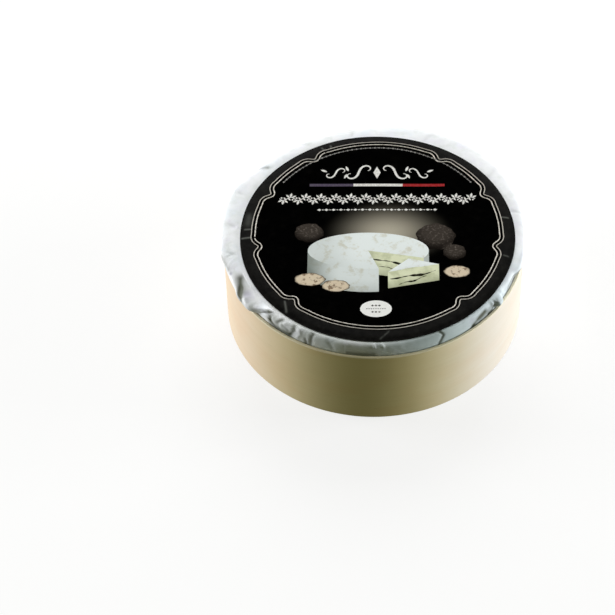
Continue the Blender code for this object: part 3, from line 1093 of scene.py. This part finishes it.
def together(sheets):
    """Several flat sheets as one."""
    points, faces, count = [], [], 0
    for sheet_points, sheet_faces in sheets:
        points.append(sheet_points)
        faces.extend(tuple(i + count for i in face) for face in sheet_faces)
        count += len(sheet_points)
    return np.vstack(points), faces


def print_on_label(name, sheets, layer, material, tone=None):
    """Flat sheets in label millimetres laid on the label's face as one thin closed printed piece.

    The tone is a function of their places that says how deep the print's colour is.
    """
    flat, faces = together(sheets)
    x, y = LABEL_X + flat[:, 0] * MM, flat[:, 1] * MM
    laid = np.stack([x, y, label_height(x, y) + PRINT_LIFT * (1 + layer)], axis=1)
    points, faces = thicken(laid, faces, PRINT_LIFT * (1.5 + layer))
    mesh = build_mesh(name, points, faces, smooth_faces=False)
    if tone is not None:
        mark_points(mesh, "tone", np.tile(tone(*flat.T), 2))
    show(name, mesh, material)


def settle_print(name, mesh):
    """Lays a flat grown mesh, made in metres round the label's middle, on the label's printed field."""
    places = places_of(mesh)
    places[:, 0] += LABEL_X
    places[:, 2] += label_height(places[:, 0], places[:, 1]) + GROWN_LIFT
    mesh.vertices.foreach_set("co", places.ravel())
    mesh.update()
    show(name, mesh)


def make_field(context):
    """The black field inside the frame, with its glow."""
    look = context.scene.brie_label
    angle = all_round(look.steps)
    outline = round_path(cartouche(angle) - FIELD_INSET, angle)
    print_on_label("print_field", [patch(outline, 24, (0.0, 0.0))], 0, glow_field_material(look))


def make_frame_lines(context):
    """The frame's double line, drawn along the cartouche."""
    look = context.scene.brie_label
    ink = worn_ink(look, "cream_ink", "line_ink")
    faint = ink_material(look, "cream_ink_faint", look.line_ink_outer, look.line_ink_worn)
    angle = np.arange(0.0, 360.0, 0.25)
    path = round_path(cartouche(angle), angle)
    tree = line_tree()
    for name, inset, width, colour in (
        ("frame_line_outer", 0.0, look.line_width_outer, faint),
        ("frame_line_inner", look.line_gap / MM, look.line_width, ink),
    ):
        start = path_mesh(name + "_path", offset_path(path, inset) * MM, closed=True)
        mesh = grow(name, tree, start, {"Width": width, "Thickness": PRINT_LIFT, "Material": colour})
        face_out(mesh)
        settle_print(name, mesh)


def flat_motif(name, sheets):
    """The mesh of a flat motif, for a row to copy."""
    points, faces = together(sheets)
    flat = np.column_stack([points * MM, np.full(len(points), PRINT_LIFT / 2)])
    return build_mesh(name, *thicken(flat, faces, PRINT_LIFT), smooth_faces=False)


def vine():
    """One period of a running vine: its wavy stem, with leaves and a berry in each bow."""
    x = np.linspace(-VINE_PERIOD / 2, VINE_PERIOD / 2, 49)
    stem = np.column_stack([x, VINE_HEIGHT * np.sin(2 * math.pi * x / VINE_PERIOD)])
    crest = VINE_PERIOD / 4
    bow = [placed(leaf(long, wide), crest + off, up, turn) for off, up, long, wide, turn in VINE_LEAVES]
    bow.append(placed(dot(0.55, 0.55, 12), crest + 1.0, -0.55 * VINE_HEIGHT))
    return [stroke(stem, np.full(49, 0.5)), *bow, *(placed(sheet, turn=180.0) for sheet in bow)]


def make_rows(context):
    """The printed rows: a beaded arc, a running vine and a line of lozenges, each set along a path."""
    look = context.scene.brie_label
    white = worn_ink(look, "white_ink", "white_ink")
    grey = worn_ink(look, "grey_ink", "grey_ink")
    arc = round_path(ARC_REACH, np.arange(ARC_START, ARC_END, -1.0)) + (0.0, FRAME_SHIFT)
    vine_reach = VINE_PERIOD * (VINE_COUNT - 1) / 2
    vine_path = [(-vine_reach, VINE_Y), (vine_reach, VINE_Y)]
    lozenge_path = [(-LOZENGE_REACH, LOZENGE_Y), (LOZENGE_REACH, LOZENGE_Y)]
    for name, shapes, path, count, second_size, ink in (
        ("print_bead_arc", [dot(0.74, 0.52)], arc, 95, 0.6, grey),
        ("print_vine", vine(), vine_path, VINE_COUNT, 1.0, white),
        ("print_lozenges", [lozenge(1.25, 0.85)], lozenge_path, 33, 0.5, white),
    ):
        motif = flat_motif(name + "_motif", shapes)
        mesh = set_in_row(name, motif, np.multiply(path, MM), count, ink, second_size=second_size)
        settle_print(name, mesh)


def scroll(width, turns=1.45):
    """An S-shaped scroll whose curl tightens evenly towards both ends, lying along X round the origin."""
    heading = turns * math.pi * np.linspace(-1.0, 1.0, SCROLL_STEPS) ** 2
    path = np.cumsum(np.stack([np.cos(heading), np.sin(heading)], axis=1), axis=0)
    path -= path[SCROLL_STEPS // 2]
    ends = path[-1] - path[0]
    lean = math.atan2(ends[1], ends[0])
    path = path @ np.array([[math.cos(lean), -math.sin(lean)], [math.sin(lean), math.cos(lean)]])
    return path * width / np.ptp(path[:, 0])


def make_flourish(context):
    """The white scroll ornament over the bar, mirrored about its middle lozenge."""
    look = context.scene.brie_label
    swell = (0.35 + 1.05 * (1 - np.linspace(-1.0, 1.0, SCROLL_STEPS) ** 2)) / SCROLL_WIDTH
    half = [(x, y, stroke(scroll(width), swell * width), turn) for x, y, width, turn in SCROLLS]
    half += [(x, y, leaf(length, 1.5), turn) for x, y, length, turn in DROPS]
    sheets = [placed(lozenge(2.1, 4.8, 2), 0.0, FLOURISH_Y)]
    for side in (1.0, -1.0):
        for x, y, sheet, turn in half:
            turned = placed(sheet, turn=turn)
            sheets.append(placed(turned, side * x, FLOURISH_Y + y, mirror=side < 0))
    print_on_label("print_flourish", sheets, 1, worn_ink(look, "flourish_ink", "white_ink"))


def make_bar(context):
    """The bar of three colours under the flourish."""
    look = context.scene.brie_label
    for name, start, end, key in BAR_PARTS:
        part = drop_wall(between((start, BAR_TOP), (end, BAR_TOP), 14), BAR_HEIGHT, 3)
        print_on_label("print_" + name, [part], 1, worn_ink(look, name, key))


def make_oval(context):
    """A white oval with rows of small marks, at the foot of the label."""
    look = context.scene.brie_label
    oval = patch(ellipse(*OVAL), 4)
    print_on_label("print_oval", [oval], 1, worn_ink(look, "oval_white", "oval_ink"))
    x, y = OVAL[:2]
    marks = [placed(dot(0.42, 0.30), x + 1.25 * i, y) for i in range(-4, 5)]
    for row in (-OVAL_ROW, OVAL_ROW):
        marks += [placed(lozenge(0.8, 0.7), x + 1.9 * i, y + row) for i in (-1, 0, 1)]
    dark = ink_material(look, "oval_marks", look.mark_ink, look.grey_ink)
    print_on_label("print_oval_marks", marks, 2, dark)


def rim(angle):
    """Points on the drawn cheese's edge."""
    turn = np.radians(angle)
    return np.stack([DRUM_X + DRUM_WIDE * np.cos(turn), DRUM_Y + DRUM_DEEP * np.sin(turn)], axis=-1)


def drop_wall(upper, drop, rows=8):
    """A drawn wall that hangs down from a line of points running left to right."""
    return ribbon(upper - np.array([0.0, drop]), upper, rows)


def between(start, end, count=16):
    return np.linspace(start, end, count)


def vein(start, end, sag, width, waves, phase):
    """A dark wavy vein between two points, thickening and thinning as it goes."""
    share = np.linspace(0.0, 1.0, 48)
    path = between(start, end, 48)
    path[:, 1] -= sag * np.sin(math.pi * share) + 0.45 * np.sin(waves * math.pi * 2 * share + phase)
    ragged = 0.5 + 0.35 * np.sin(11.0 * share + phase) + 0.15 * np.sin(37.0 * share + 2 * phase)
    return stroke(path, width * np.sin(math.pi * share) ** 0.6 * np.abs(ragged) + 0.10)


def lumpy(spot, phase):
    """A lumpy round sheet, as a truffle is."""
    x, y, half_width, half_height = spot
    turn = np.radians(all_round(72))
    lumps = np.sin(5 * turn + phase) + 0.7 * np.sin(9 * turn + 2 * phase) + 0.5 * np.sin(13 * turn)
    outline = ellipse(0.0, 0.0, half_width, half_height) * (1 + 0.03 * lumps)[:, None]
    return patch(outline + (x, y), 8)


def edge_tone(spots, start, rise=0.0):
    """A tone that deepens towards the edges of round spots, whose light side may lie above their middle."""
    def tone(x, y):
        near = np.full_like(x, 9.0)
        for spot_x, spot_y, half_width, half_height in spots:
            up = (y - spot_y) / half_height - rise
            near = np.minimum(near, np.hypot((x - spot_x) / half_width, up) / (1 + rise))
        return smooth((near - start) / (1 - start))
    return tone


def side_tone(x, y):
    """How deep the drawn cheese's side is in shade: at its left, at its right and towards its foot."""
    sideways = 0.75 * smooth((-20.0 - x) / 20.0) + 0.4 * smooth((x - 20.0) / 8.0)
    drawn_rim = DRUM_Y - DRUM_DEEP * np.sqrt(np.clip(1 - ((x - DRUM_X) / DRUM_WIDE) ** 2, 0, 1))
    return np.clip(0.20 + sideways + 0.45 * smooth((drawn_rim - y) / DRUM_TALL - 0.35), 0, 1)


def top_tone(x, y):
    return 0.30 * smooth((-8.0 - x) / 26.0) + 0.12 * smooth((DRUM_Y - y) / DRUM_DEEP)


def cut_tone(x, y):
    return 0.55 * smooth((DRUM_Y - 9.0 - y) / 12.0) + 0.35 * smooth((DRUM_X + 5.0 - x) / 3.0)


def wedge_tone(x, y):
    edge = np.interp(x, (WEDGE_HEEL[0], WEDGE_TIP[0]), (WEDGE_HEEL[1], WEDGE_TIP[1]))
    return 0.7 * smooth((edge - y) / WEDGE_TALL - 0.35)


def make_picture(context):
    """The label's picture, one printed piece for each colour."""
    look = context.scene.brie_label
    rind = ink_material(
        look, "picture_rind", look.rind, look.rind_warm, 210.0, (0.50, 0.72), look.rind_shade
    )
    paste = ink_material(
        look, "picture_paste", look.paste, look.paste_deep, 150.0, (0.4, 0.7), look.paste_shade
    )
    dark = ink_material(look, "picture_vein", look.vein, look.truffle_edge, 500.0)
    truffle = ink_material(
        look, "picture_truffle", look.truffle, look.truffle_pale, 700.0, (0.5, 0.7), look.truffle_edge
    )
    flesh = ink_material(
        look, "picture_slice", look.slice_pale, look.slice_dark, 420.0, (0.52, 0.66), look.truffle_edge
    )
    hub = np.array([DRUM_X, DRUM_Y])
    far = rim(CUT_TO)
    edge = rim(np.linspace(CUT_TO - 360.0, CUT_FROM, 120))
    top = ribbon(edge, hub + 0.004 * (edge - hub), 10)
    side = [drop_wall(rim(np.linspace(180.0, CUT_FROM, 40)), DRUM_TALL)]
    side.append(drop_wall(rim(np.linspace(CUT_TO, 360.0, 12)), DRUM_TALL))
    cut = drop_wall(between(hub, far), DRUM_TALL)
    wedge_top = patch([WEDGE_TIP, WEDGE_BACK, WEDGE_HEEL])
    wedge_side = drop_wall(between(WEDGE_HEEL, WEDGE_TIP), WEDGE_TALL)
    heel, tip = np.array(WEDGE_HEEL), np.array(WEDGE_TIP)
    cut_veins = [
        vein(hub + (1.0, -5.4), far + (-1.0, -6.6), 0.7, 2.1, 1.5, 1.1),
        vein(hub + (6.0, -11.5), far + (-3.0, -11.5), 0.3, 1.4, 2.0, 2.2),
    ]
    wedge_veins = [
        vein(heel + (1.2, -4.8), tip + (-1.8, -5.0), 0.9, 2.2, 1.5, 0.9),
        vein(heel + (6.0, -9.2), tip + (-7.0, -8.9), 0.3, 1.3, 1.5, 2.6),
    ]
    truffles = [lumpy(spot, 0.4 + 1.7 * i) for i, spot in enumerate(TRUFFLES)]
    slices = [lumpy(spot, 1.0 + 2.1 * i) for i, spot in enumerate(TRUFFLE_SLICES)]
    print_on_label("print_truffles", truffles, 1, truffle, edge_tone(TRUFFLES, 0.35, 0.35))
    print_on_label("print_truffle_slices", slices, 3, flesh, edge_tone(TRUFFLE_SLICES, 0.86))
    print_on_label("print_cheese_side", side, 2, rind, side_tone)
    print_on_label("print_cheese_cut", [cut], 1, paste, cut_tone)
    print_on_label("print_cheese_top", [top], 2, rind, top_tone)
    print_on_label("print_cheese_veins", cut_veins, 1.5, dark)
    print_on_label("print_wedge_side", [wedge_side], 4, paste, wedge_tone)
    print_on_label("print_wedge_top", [wedge_top], 4, rind, lambda x, y: 0 * x)
    print_on_label("print_wedge_veins", wedge_veins, 5, dark)


def make_staples(context):
    """Wire staples up the hoop's lap."""
    look = context.scene.brie_hoop
    angle = math.radians(LAP_STEP + look.staple_offset)
    reach = HOOP_RADIUS + LAP_RISE + 0.1 * MM
    x, y = reach * math.cos(angle), reach * math.sin(angle)
    motif = staple_mesh(look.staple_length, look.staple_wire, Matrix.Rotation(angle, 3, "Z"))
    margin = HOOP_HEIGHT * STAPLE_MARGIN
    path = [(x, y, margin), (x, y, HOOP_HEIGHT - margin)]
    mesh = set_in_row("staples", motif, path, STAPLE_COUNT, wire_material())
    mesh.shade_smooth()
    show("staples", mesh)


def staple_mesh(length, wire, spin):
    """A staple's crown with both its ends turning into the wood, standing upright, then spun into place."""
    bend = wire * STAPLE_BEND
    path = [(-2 * wire, -length / 2)]
    for turn in np.radians((0.0, 30.0, 60.0, 90.0)):
        path.append((-bend * (1 - math.sin(turn)), -length / 2 + bend * (1 - math.cos(turn))))
    path += [(across, -up) for across, up in reversed(path)]
    x, y = round_path(wire / 2, all_round(STAPLE_SIDES)).T
    loops = [np.stack([x + across, y, 0 * x + up], axis=1) for across, up in path]
    points, faces = stack_rings([loops[0].mean(axis=0), *loops, loops[-1].mean(axis=0)])
    mesh = build_mesh("staple", [spin @ Vector(p) for p in points], faces)
    face_out(mesh)
    return mesh


def finish_base(context):
    """The box's bottom keeps its solid and gets its wood."""
    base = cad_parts["box_base"]
    material = base_material(context.scene.brie_hoop)
    if not base.material_slots:
        base.data.materials.append(material)
    for slot in base.material_slots:
        slot.material = material


def soft_box(name, azimuth, elevation, distance, width, height, strength, colour):
    """A soft light that looks at the box. Strength 1 makes a white surface that faces it white."""
    data = bpy.data.lights.new(name, "AREA")
    data.shape = "RECTANGLE"
    data.size, data.size_y = width, height
    data.energy = strength * math.pi ** 2 * distance ** 2
    data.color = colour
    turn, rise = math.radians(azimuth), math.radians(elevation)
    away = Vector((math.cos(turn) * math.cos(rise), math.sin(turn) * math.cos(rise), math.sin(rise)))
    light = bpy.data.objects.new(name, data)
    light.location = away * distance + Vector((0.0, 0.0, HOOP_HEIGHT / 2))
    light.rotation_euler = away.to_track_quat("Z", "Y").to_euler()
    bpy.context.scene.collection.objects.link(light)


def make_floor(look):
    """A pale floor with a little light of its own, so that only a soft shadow shows under the box."""
    material, kit, shader = new_material("pale_floor", 0.8, 0.1)
    shade = look.floor_shade
    grain = kit.noise(object_place(kit), 40.0, 3.0)
    kit.feed(shader, "Base Color", kit.blend(grain, (shade,) * 3, (0.96 * shade,) * 3))
    kit.feed(shader, "Emission Color", look.floor_colour)
    kit.feed(shader, "Emission Strength", look.floor_light)
    half = look.floor_size / 2
    corners = [(-half, -half), (half, -half), (half, half), (-half, half)]
    mesh = build_mesh("floor", [(x, y, -look.floor_drop) for x, y in corners], [(0, 1, 2, 3)], False)
    mesh.materials.append(material)
    floor = bpy.data.objects.new("floor", mesh)
    bpy.context.scene.collection.objects.link(floor)
    floor.visible_diffuse = False
    floor.visible_glossy = False


def make_world(look):
    """A dim room that the camera sees as the same pale tone as the floor."""
    world = bpy.data.worlds.new("pale_room")
    world.use_nodes = True
    bpy.context.scene.world = world
    kit = NodeKit(world.node_tree)
    background = world.node_tree.nodes["Background"]
    seen = kit.add("ShaderNodeLightPath").outputs["Is Camera Ray"]
    kit.feed(background, "Color", kit.blend(seen, look.room_light, look.floor_colour))
    kit.feed(background, "Strength", 1.0)


def make_camera(look):
    """The camera, turned so that the box stands right of the middle, level in the picture."""
    data = bpy.data.cameras.new("camera")
    data.sensor_width = look.sensor
    data.lens = look.focal_length
    camera = bpy.data.objects.new("camera", data)
    rise = math.radians(look.elevation)
    place = Vector((0.0, -look.distance * math.cos(rise), look.distance * math.sin(rise)))
    ahead = -place.normalized()
    right = Vector((1.0, 0.0, 0.0))
    above = right.cross(ahead)
    focal = look.focal_length / look.sensor
    ahead = (ahead - right * look.turn_right / focal + above * look.turn_up / focal).normalized()
    right = (right - ahead * right.dot(ahead)).normalized()
    above = right.cross(ahead)
    camera.matrix_world = Matrix.Translation(place) @ Matrix((right, above, -ahead)).transposed().to_4x4()
    bpy.context.scene.collection.objects.link(camera)
    bpy.context.scene.camera = camera


def make_stage(context):
    """The floor, the room, the soft lights and the camera."""
    look = context.scene.brie_stage
    make_floor(look)
    make_world(look)
    for name, *place in LIGHTS:
        soft_box(name, *place, getattr(look, name), look.light_colour)
    context.scene.view_settings.view_transform = "Standard"
    make_camera(look)


def length_setting(name, description, default):
    return FloatProperty(name=name, description=description, default=default, min=-1.0, unit="LENGTH")


def share_setting(name, description, default):
    return FloatProperty(
        name=name, description=description, default=default, min=0.0, max=1.0, subtype="FACTOR"
    )


def number_setting(name, description, default):
    return FloatProperty(name=name, description=description, default=default)


def count_setting(name, description, default, least):
    return IntProperty(name=name, description=description, default=default, min=least)


def colour_setting(name, description, default):
    return FloatVectorProperty(
        name=name, description=description, default=default, min=0.0, max=1.0, subtype="COLOR"
    )


class BrieHoop(bpy.types.PropertyGroup):
    """The box: a bent strip of veneer and its base."""

    veneer: length_setting("Veneer", "Thickness of the strip", 1.8 * MM)
    eased_edge: length_setting("Eased edge", "Width of the strip's eased edges", 0.35 * MM)
    unevenness: length_setting("Unevenness", "How far the strip wanders in and out", 0.12 * MM)
    steps: count_setting("Steps", "Steps round the hoop", 720, 48)
    rows: count_setting("Rows", "Rows of points up each face", 14, 2)
    staple_offset: number_setting("Staple offset", "Degrees from the lap's step to the staples", 5.0)
    staple_length: length_setting("Staple length", "Length of a staple's crown", 9.0 * MM)
    staple_wire: length_setting("Staple wire", "Thickness of the staples' wire", 0.7 * MM)
    roughness: share_setting("Roughness", "Roughness of the bare wood", 0.6)
    shine: share_setting("Shine", "Specular level of the bare wood", 0.3)
    # Tones round the hoop that paint light and shade: peach on the left, olive painted shade in front,
    # cream painted light on the right
    wood_peach: colour_setting("Peach wood", "The veneer on the left", (0.87, 0.71, 0.545))
    wood_front_painted_shade: colour_setting("Olive wood", "The veneer in front", (0.83, 0.71, 0.37))
    wood_right_painted_light: colour_setting("Cream wood", "The veneer on the right", (0.89, 0.83, 0.755))
    # Painted highlight along the hoop's top edge
    wood_rim_painted_highlight: colour_setting("Pale rim", "The cut edge along the top", (0.95, 0.885, 0.68))
    fibre_tint: colour_setting("Fibre tint", "How the darker fibres tint the wood", (0.96, 0.95, 0.92))
    patch_tint: colour_setting("Patch tint", "How the warm patches tint the wood", (1.0, 0.965, 0.94))
    base_light: colour_setting("Light base", "Pale fibres of the base", (0.86, 0.72, 0.49))
    base_dark: colour_setting("Dark base", "Darker fibres of the base", (0.78, 0.64, 0.41))
    pore: colour_setting("Pores", "Short dark pores and specks", (0.36, 0.26, 0.13))


class BrieFilm(bpy.types.PropertyGroup):
    """The film round the cheese."""

    steps: count_setting("Steps", "Steps round the wheel", 1200, 96)
    underside_rows: count_setting("Rows under the lip", "Rows of points under the lip", 6, 2)
    shoulder_rows: count_setting("Rows on the shoulder", "Rows of points up the shoulder", 28, 6)
    crinkle: length_setting("Crinkle", "Height of the light crinkle all over", 0.12 * MM)
    fold_depth: number_setting("Fold depth", "Scale of all the folds", 1.0)
    roughness: share_setting("Roughness", "Roughness of the film", 0.55)
    shine: share_setting("Shine", "Specular level of the film", 0.3)
    film_white: colour_setting("White", "The film over pale rind", (0.93, 0.94, 0.98))
    film_cool: colour_setting("Cool", "Bluer clouds in the film", (0.82, 0.87, 0.94))
    film_grey: colour_setting("Grey", "Greyer clouds in the film", (0.77, 0.80, 0.80))
    film_lilac: colour_setting("Lilac", "Lilac clouds in the film", (0.86, 0.85, 0.95))
    # Painted shade in the film's folds
    film_fold_painted_shade: colour_setting("Deep", "The film deep in its folds", (0.092, 0.10, 0.074))
    # Painted shade on the film, on the right and in front
    film_right_painted_shade: colour_setting("Right side", "The film on the right, cooler", (0.60, 0.69, 0.745))
    film_front_painted_shade: colour_setting("Front", "How the film in front is tinted, greyer", (0.80, 0.83, 0.80))
    film_lilac_deep: colour_setting("Deep lilac", "Lilac patches of the film", (0.39, 0.38, 0.46))
    pearl: share_setting("Pearl", "How metallic the film shines", 0.03)


class BrieLabel(bpy.types.PropertyGroup):
    """The label and its print."""

    steps: count_setting("Steps", "Steps round the label", 900, 72)
    rows: count_setting("Rows", "Rows of points in the label's field", 16, 2)
    edge_rows: count_setting("Rows at the edge", "Rows of points in the label's border", 30, 4)
    line_width: length_setting("Line width", "Width of the frame's inner line", 0.60 * MM)
    line_width_outer: length_setting("Outer line width", "Width of the frame's outer line", 0.50 * MM)
    line_gap: length_setting("Line gap", "Distance between the frame's lines", 2.1 * MM)
    roughness: share_setting("Roughness", "Roughness of the paper", 0.36)
    shine: share_setting("Shine", "Specular level of the paper", 0.015)
    field_shine: share_setting("Field shine", "Specular level of the black field", 0.0)
    glow_x: length_setting("Glow X", "Middle of the glow, across", 6.0 * MM)
    glow_y: length_setting("Glow Y", "Middle of the glow, up the label", 2.0 * MM)
    glow_reach: length_setting("Glow reach", "How far the glow reaches", 40.0 * MM)
    edge_dark: colour_setting("Border", "The label's border", (0.0022, 0.0020, 0.0018))
    edge_light: colour_setting("Border mottle", "The border's lighter mottle", (0.0090, 0.0084, 0.0074))
    scuff: colour_setting("Scuffs", "Worn places on the border", (0.05, 0.05, 0.045))
    # Rubbed paper and painted highlight along the creases
    crease_rub_and_highlight: colour_setting("Creases", "Rubbed paper along the creases", (0.125, 0.13, 0.12))
    field: colour_setting("Field", "The printed black field", (0.0006, 0.0006, 0.0006))
    field_worn: colour_setting("Field, worn", "Faint mottle in the black field", (0.0022, 0.0020, 0.0018))
    glow: colour_setting("Glow", "The glow behind the picture", (0.46, 0.42, 0.34))
    line_ink: colour_setting("Cream ink", "The frame's lines", (0.72, 0.68, 0.63))
    line_ink_outer: colour_setting("Cream ink, outer", "The frame's outer line", (0.50, 0.47, 0.43))
    line_ink_worn: colour_setting("Cream ink, worn", "Thin places in the frame's lines", (0.42, 0.39, 0.35))
    white_ink: colour_setting("White ink", "White print", (0.86, 0.85, 0.83))
    oval_ink: colour_setting("Oval ink", "The white oval", (0.97, 0.97, 0.96))
    oval_ink_worn: colour_setting("Oval ink, worn", "Thin places in the oval", (0.93, 0.93, 0.92))
    white_ink_worn: colour_setting("White ink, worn", "Thin places in white print", (0.68, 0.67, 0.65))
    grey_ink: colour_setting("Grey ink", "Grey print", (0.33, 0.32, 0.31))
    mark_ink: colour_setting("Mark ink", "Small marks in the oval", (0.03, 0.03, 0.03))
    grey_ink_worn: colour_setting("Grey ink, worn", "Thin places in grey print", (0.19, 0.185, 0.18))
    bar_violet: colour_setting("Violet", "The bar's left part", (0.09, 0.07, 0.115))
    bar_violet_worn: colour_setting("Violet, worn", "Thin places in the violet", (0.11, 0.095, 0.13))
    bar_red: colour_setting("Red", "The bar's right part", (0.36, 0.022, 0.025))
    bar_red_worn: colour_setting("Red, worn", "Thin places in the red", (0.39, 0.04, 0.045))
    rind: colour_setting("Rind", "The drawn rind", (0.90, 0.955, 0.965))
    rind_warm: colour_setting("Rind, warm", "Warm mottle on the drawn rind", (0.74, 0.74, 0.66))
    rind_shade: colour_setting("Rind, shade", "The drawn rind in shade", (0.24, 0.27, 0.25))
    paste: colour_setting("Paste", "The drawn paste", (0.80, 0.83, 0.60))
    paste_deep: colour_setting("Paste, deep", "Deeper places in the drawn paste", (0.60, 0.63, 0.42))
    paste_shade: colour_setting("Paste, shade", "The drawn paste in shade", (0.20, 0.22, 0.13))
    vein: colour_setting("Vein", "The drawn dark veins", (0.035, 0.035, 0.022))
    truffle: colour_setting("Truffle", "The drawn truffles", (0.050, 0.041, 0.035))
    truffle_pale: colour_setting("Truffle, pale", "Pale grains on the drawn truffles", (0.13, 0.11, 0.095))
    truffle_edge: colour_setting("Truffle, edge", "Edges of truffles and slices", (0.008, 0.006, 0.005))
    slice_pale: colour_setting("Slice", "The drawn truffle slices", (0.74, 0.62, 0.47))
    slice_dark: colour_setting("Slice, dark", "Marbling of the drawn slices", (0.26, 0.18, 0.12))


class BrieStage(bpy.types.PropertyGroup):
    """Floor, lights and camera."""

    floor_size: length_setting("Floor size", "Side of the square floor", 12.0)
    floor_drop: length_setting("Floor drop", "Gap between the box and the floor", 0.1 * MM)
    floor_colour: colour_setting("Floor colour", "Pale floor and backdrop", (1.0, 1.0, 1.0))
    floor_light: share_setting("Floor light", "The floor's own light", 0.80)
    floor_shade: share_setting("Floor shade", "How much of the box's shadow the floor shows", 0.22)
    room_light: colour_setting("Room light", "Dim light from all round", (0.128, 0.131, 0.09))
    back_light: number_setting("Back light", "Strength of the light behind", 0.86)
    right_light: number_setting("Right light", "Strength of the light on the right", 1.27)
    left_light: number_setting("Left light", "Strength of the light on the left", 1.23)
    light_colour: colour_setting("Light colour", "Colour of the soft lights", (0.98, 0.99, 1.0))
    distance: length_setting("Camera distance", "From the box's foot to the camera", 1.36)
    elevation: number_setting("Camera elevation", "Degrees above the floor", 49.7)
    focal_length: number_setting("Focal length", "Millimetres", 136.2)
    sensor: number_setting("Sensor", "Width in millimetres", 36.0)
    turn_right: number_setting("Framing across", "Frame widths it stands to the right", 65.9 / PHOTO_WIDTH)
    turn_up: number_setting("Framing up", "Frame widths it stands down", -5.8 / PHOTO_WIDTH)


class BRIE_OT_hoop(bpy.types.Operator):
    """Bend the strip of veneer into the box's hoop"""

    bl_idname = "truffle_brie.hoop"
    bl_label = "Bend the Hoop"

    def execute(self, context):
        make_hoop(context)
        return {"FINISHED"}


class BRIE_OT_base(bpy.types.Operator):
    """Give the box's base its sawn wood"""

    bl_idname = "truffle_brie.base"
    bl_label = "Finish the Base"

    def execute(self, context):
        finish_base(context)
        return {"FINISHED"}


class BRIE_OT_staples(bpy.types.Operator):
    """Set the staples up the hoop's lap"""

    bl_idname = "truffle_brie.staples"
    bl_label = "Set the Staples"

    def execute(self, context):
        make_staples(context)
        return {"FINISHED"}


class BRIE_OT_film(bpy.types.Operator):
    """Fold the film over the wheel"""

    bl_idname = "truffle_brie.film"
    bl_label = "Fold the Film"

    def execute(self, context):
        make_film(context)
        return {"FINISHED"}


class BRIE_OT_label(bpy.types.Operator):
    """Lay the label's paper on the film"""

    bl_idname = "truffle_brie.label"
    bl_label = "Lay the Label"

    def execute(self, context):
        make_label(context)
        make_field(context)
        return {"FINISHED"}


class BRIE_OT_frame_lines(bpy.types.Operator):
    """Print the frame's double line"""

    bl_idname = "truffle_brie.frame_lines"
    bl_label = "Print the Frame"

    def execute(self, context):
        make_frame_lines(context)
        return {"FINISHED"}


class BRIE_OT_ornaments(bpy.types.Operator):
    """Print the rows of ornament, the flourish, the bar and the oval"""

    bl_idname = "truffle_brie.ornaments"
    bl_label = "Print the Ornaments"

    def execute(self, context):
        make_rows(context)
        make_flourish(context)
        make_bar(context)
        make_oval(context)
        return {"FINISHED"}


class BRIE_OT_picture(bpy.types.Operator):
    """Print the picture of a cheese and truffles"""

    bl_idname = "truffle_brie.picture"
    bl_label = "Print the Picture"

    def execute(self, context):
        make_picture(context)
        return {"FINISHED"}


class BRIE_OT_stage(bpy.types.Operator):
    """Set the floor, the lights and the camera"""

    bl_idname = "truffle_brie.stage"
    bl_label = "Set the Stage"

    def execute(self, context):
        make_stage(context)
        return {"FINISHED"}


class BRIE_PT_panel(bpy.types.Panel):
    """The pieces of the boxed cheese, in the order they are made"""

    bl_idname = "BRIE_PT_panel"
    bl_label = "Truffle Brie"
    bl_space_type = "VIEW_3D"
    bl_region_type = "UI"
    bl_category = "Truffle Brie"

    def draw(self, context):
        for operator in OPERATORS:
            self.layout.operator(operator.bl_idname)
        for name in SETTINGS:
            box = self.layout.box()
            group = getattr(context.scene, name)
            for key in group.bl_rna.properties.keys():
                if key not in ("rna_type", "name"):
                    box.prop(group, key)


SETTINGS = {"brie_hoop": BrieHoop, "brie_film": BrieFilm, "brie_label": BrieLabel, "brie_stage": BrieStage}
OPERATORS = (
    BRIE_OT_hoop,
    BRIE_OT_base,
    BRIE_OT_staples,
    BRIE_OT_film,
    BRIE_OT_label,
    BRIE_OT_frame_lines,
    BRIE_OT_ornaments,
    BRIE_OT_picture,
    BRIE_OT_stage,
)


def register():
    for kind in (*SETTINGS.values(), *OPERATORS, BRIE_PT_panel):
        bpy.utils.register_class(kind)
    for name, kind in SETTINGS.items():
        setattr(bpy.types.Scene, name, PointerProperty(type=kind))


def unregister():
    for name in SETTINGS:
        delattr(bpy.types.Scene, name)
    for kind in (BRIE_PT_panel, *reversed(OPERATORS), *reversed(tuple(SETTINGS.values()))):
        bpy.utils.unregister_class(kind)


def main():
    """Builds every piece in order."""
    register()
    bpy.ops.truffle_brie.hoop()
    bpy.ops.truffle_brie.base()
    bpy.ops.truffle_brie.staples()
    bpy.ops.truffle_brie.film()
    bpy.ops.truffle_brie.label()
    bpy.ops.truffle_brie.frame_lines()
    bpy.ops.truffle_brie.ornaments()
    bpy.ops.truffle_brie.picture()
    bpy.ops.truffle_brie.stage()


if __name__ == "__main__":
    main()
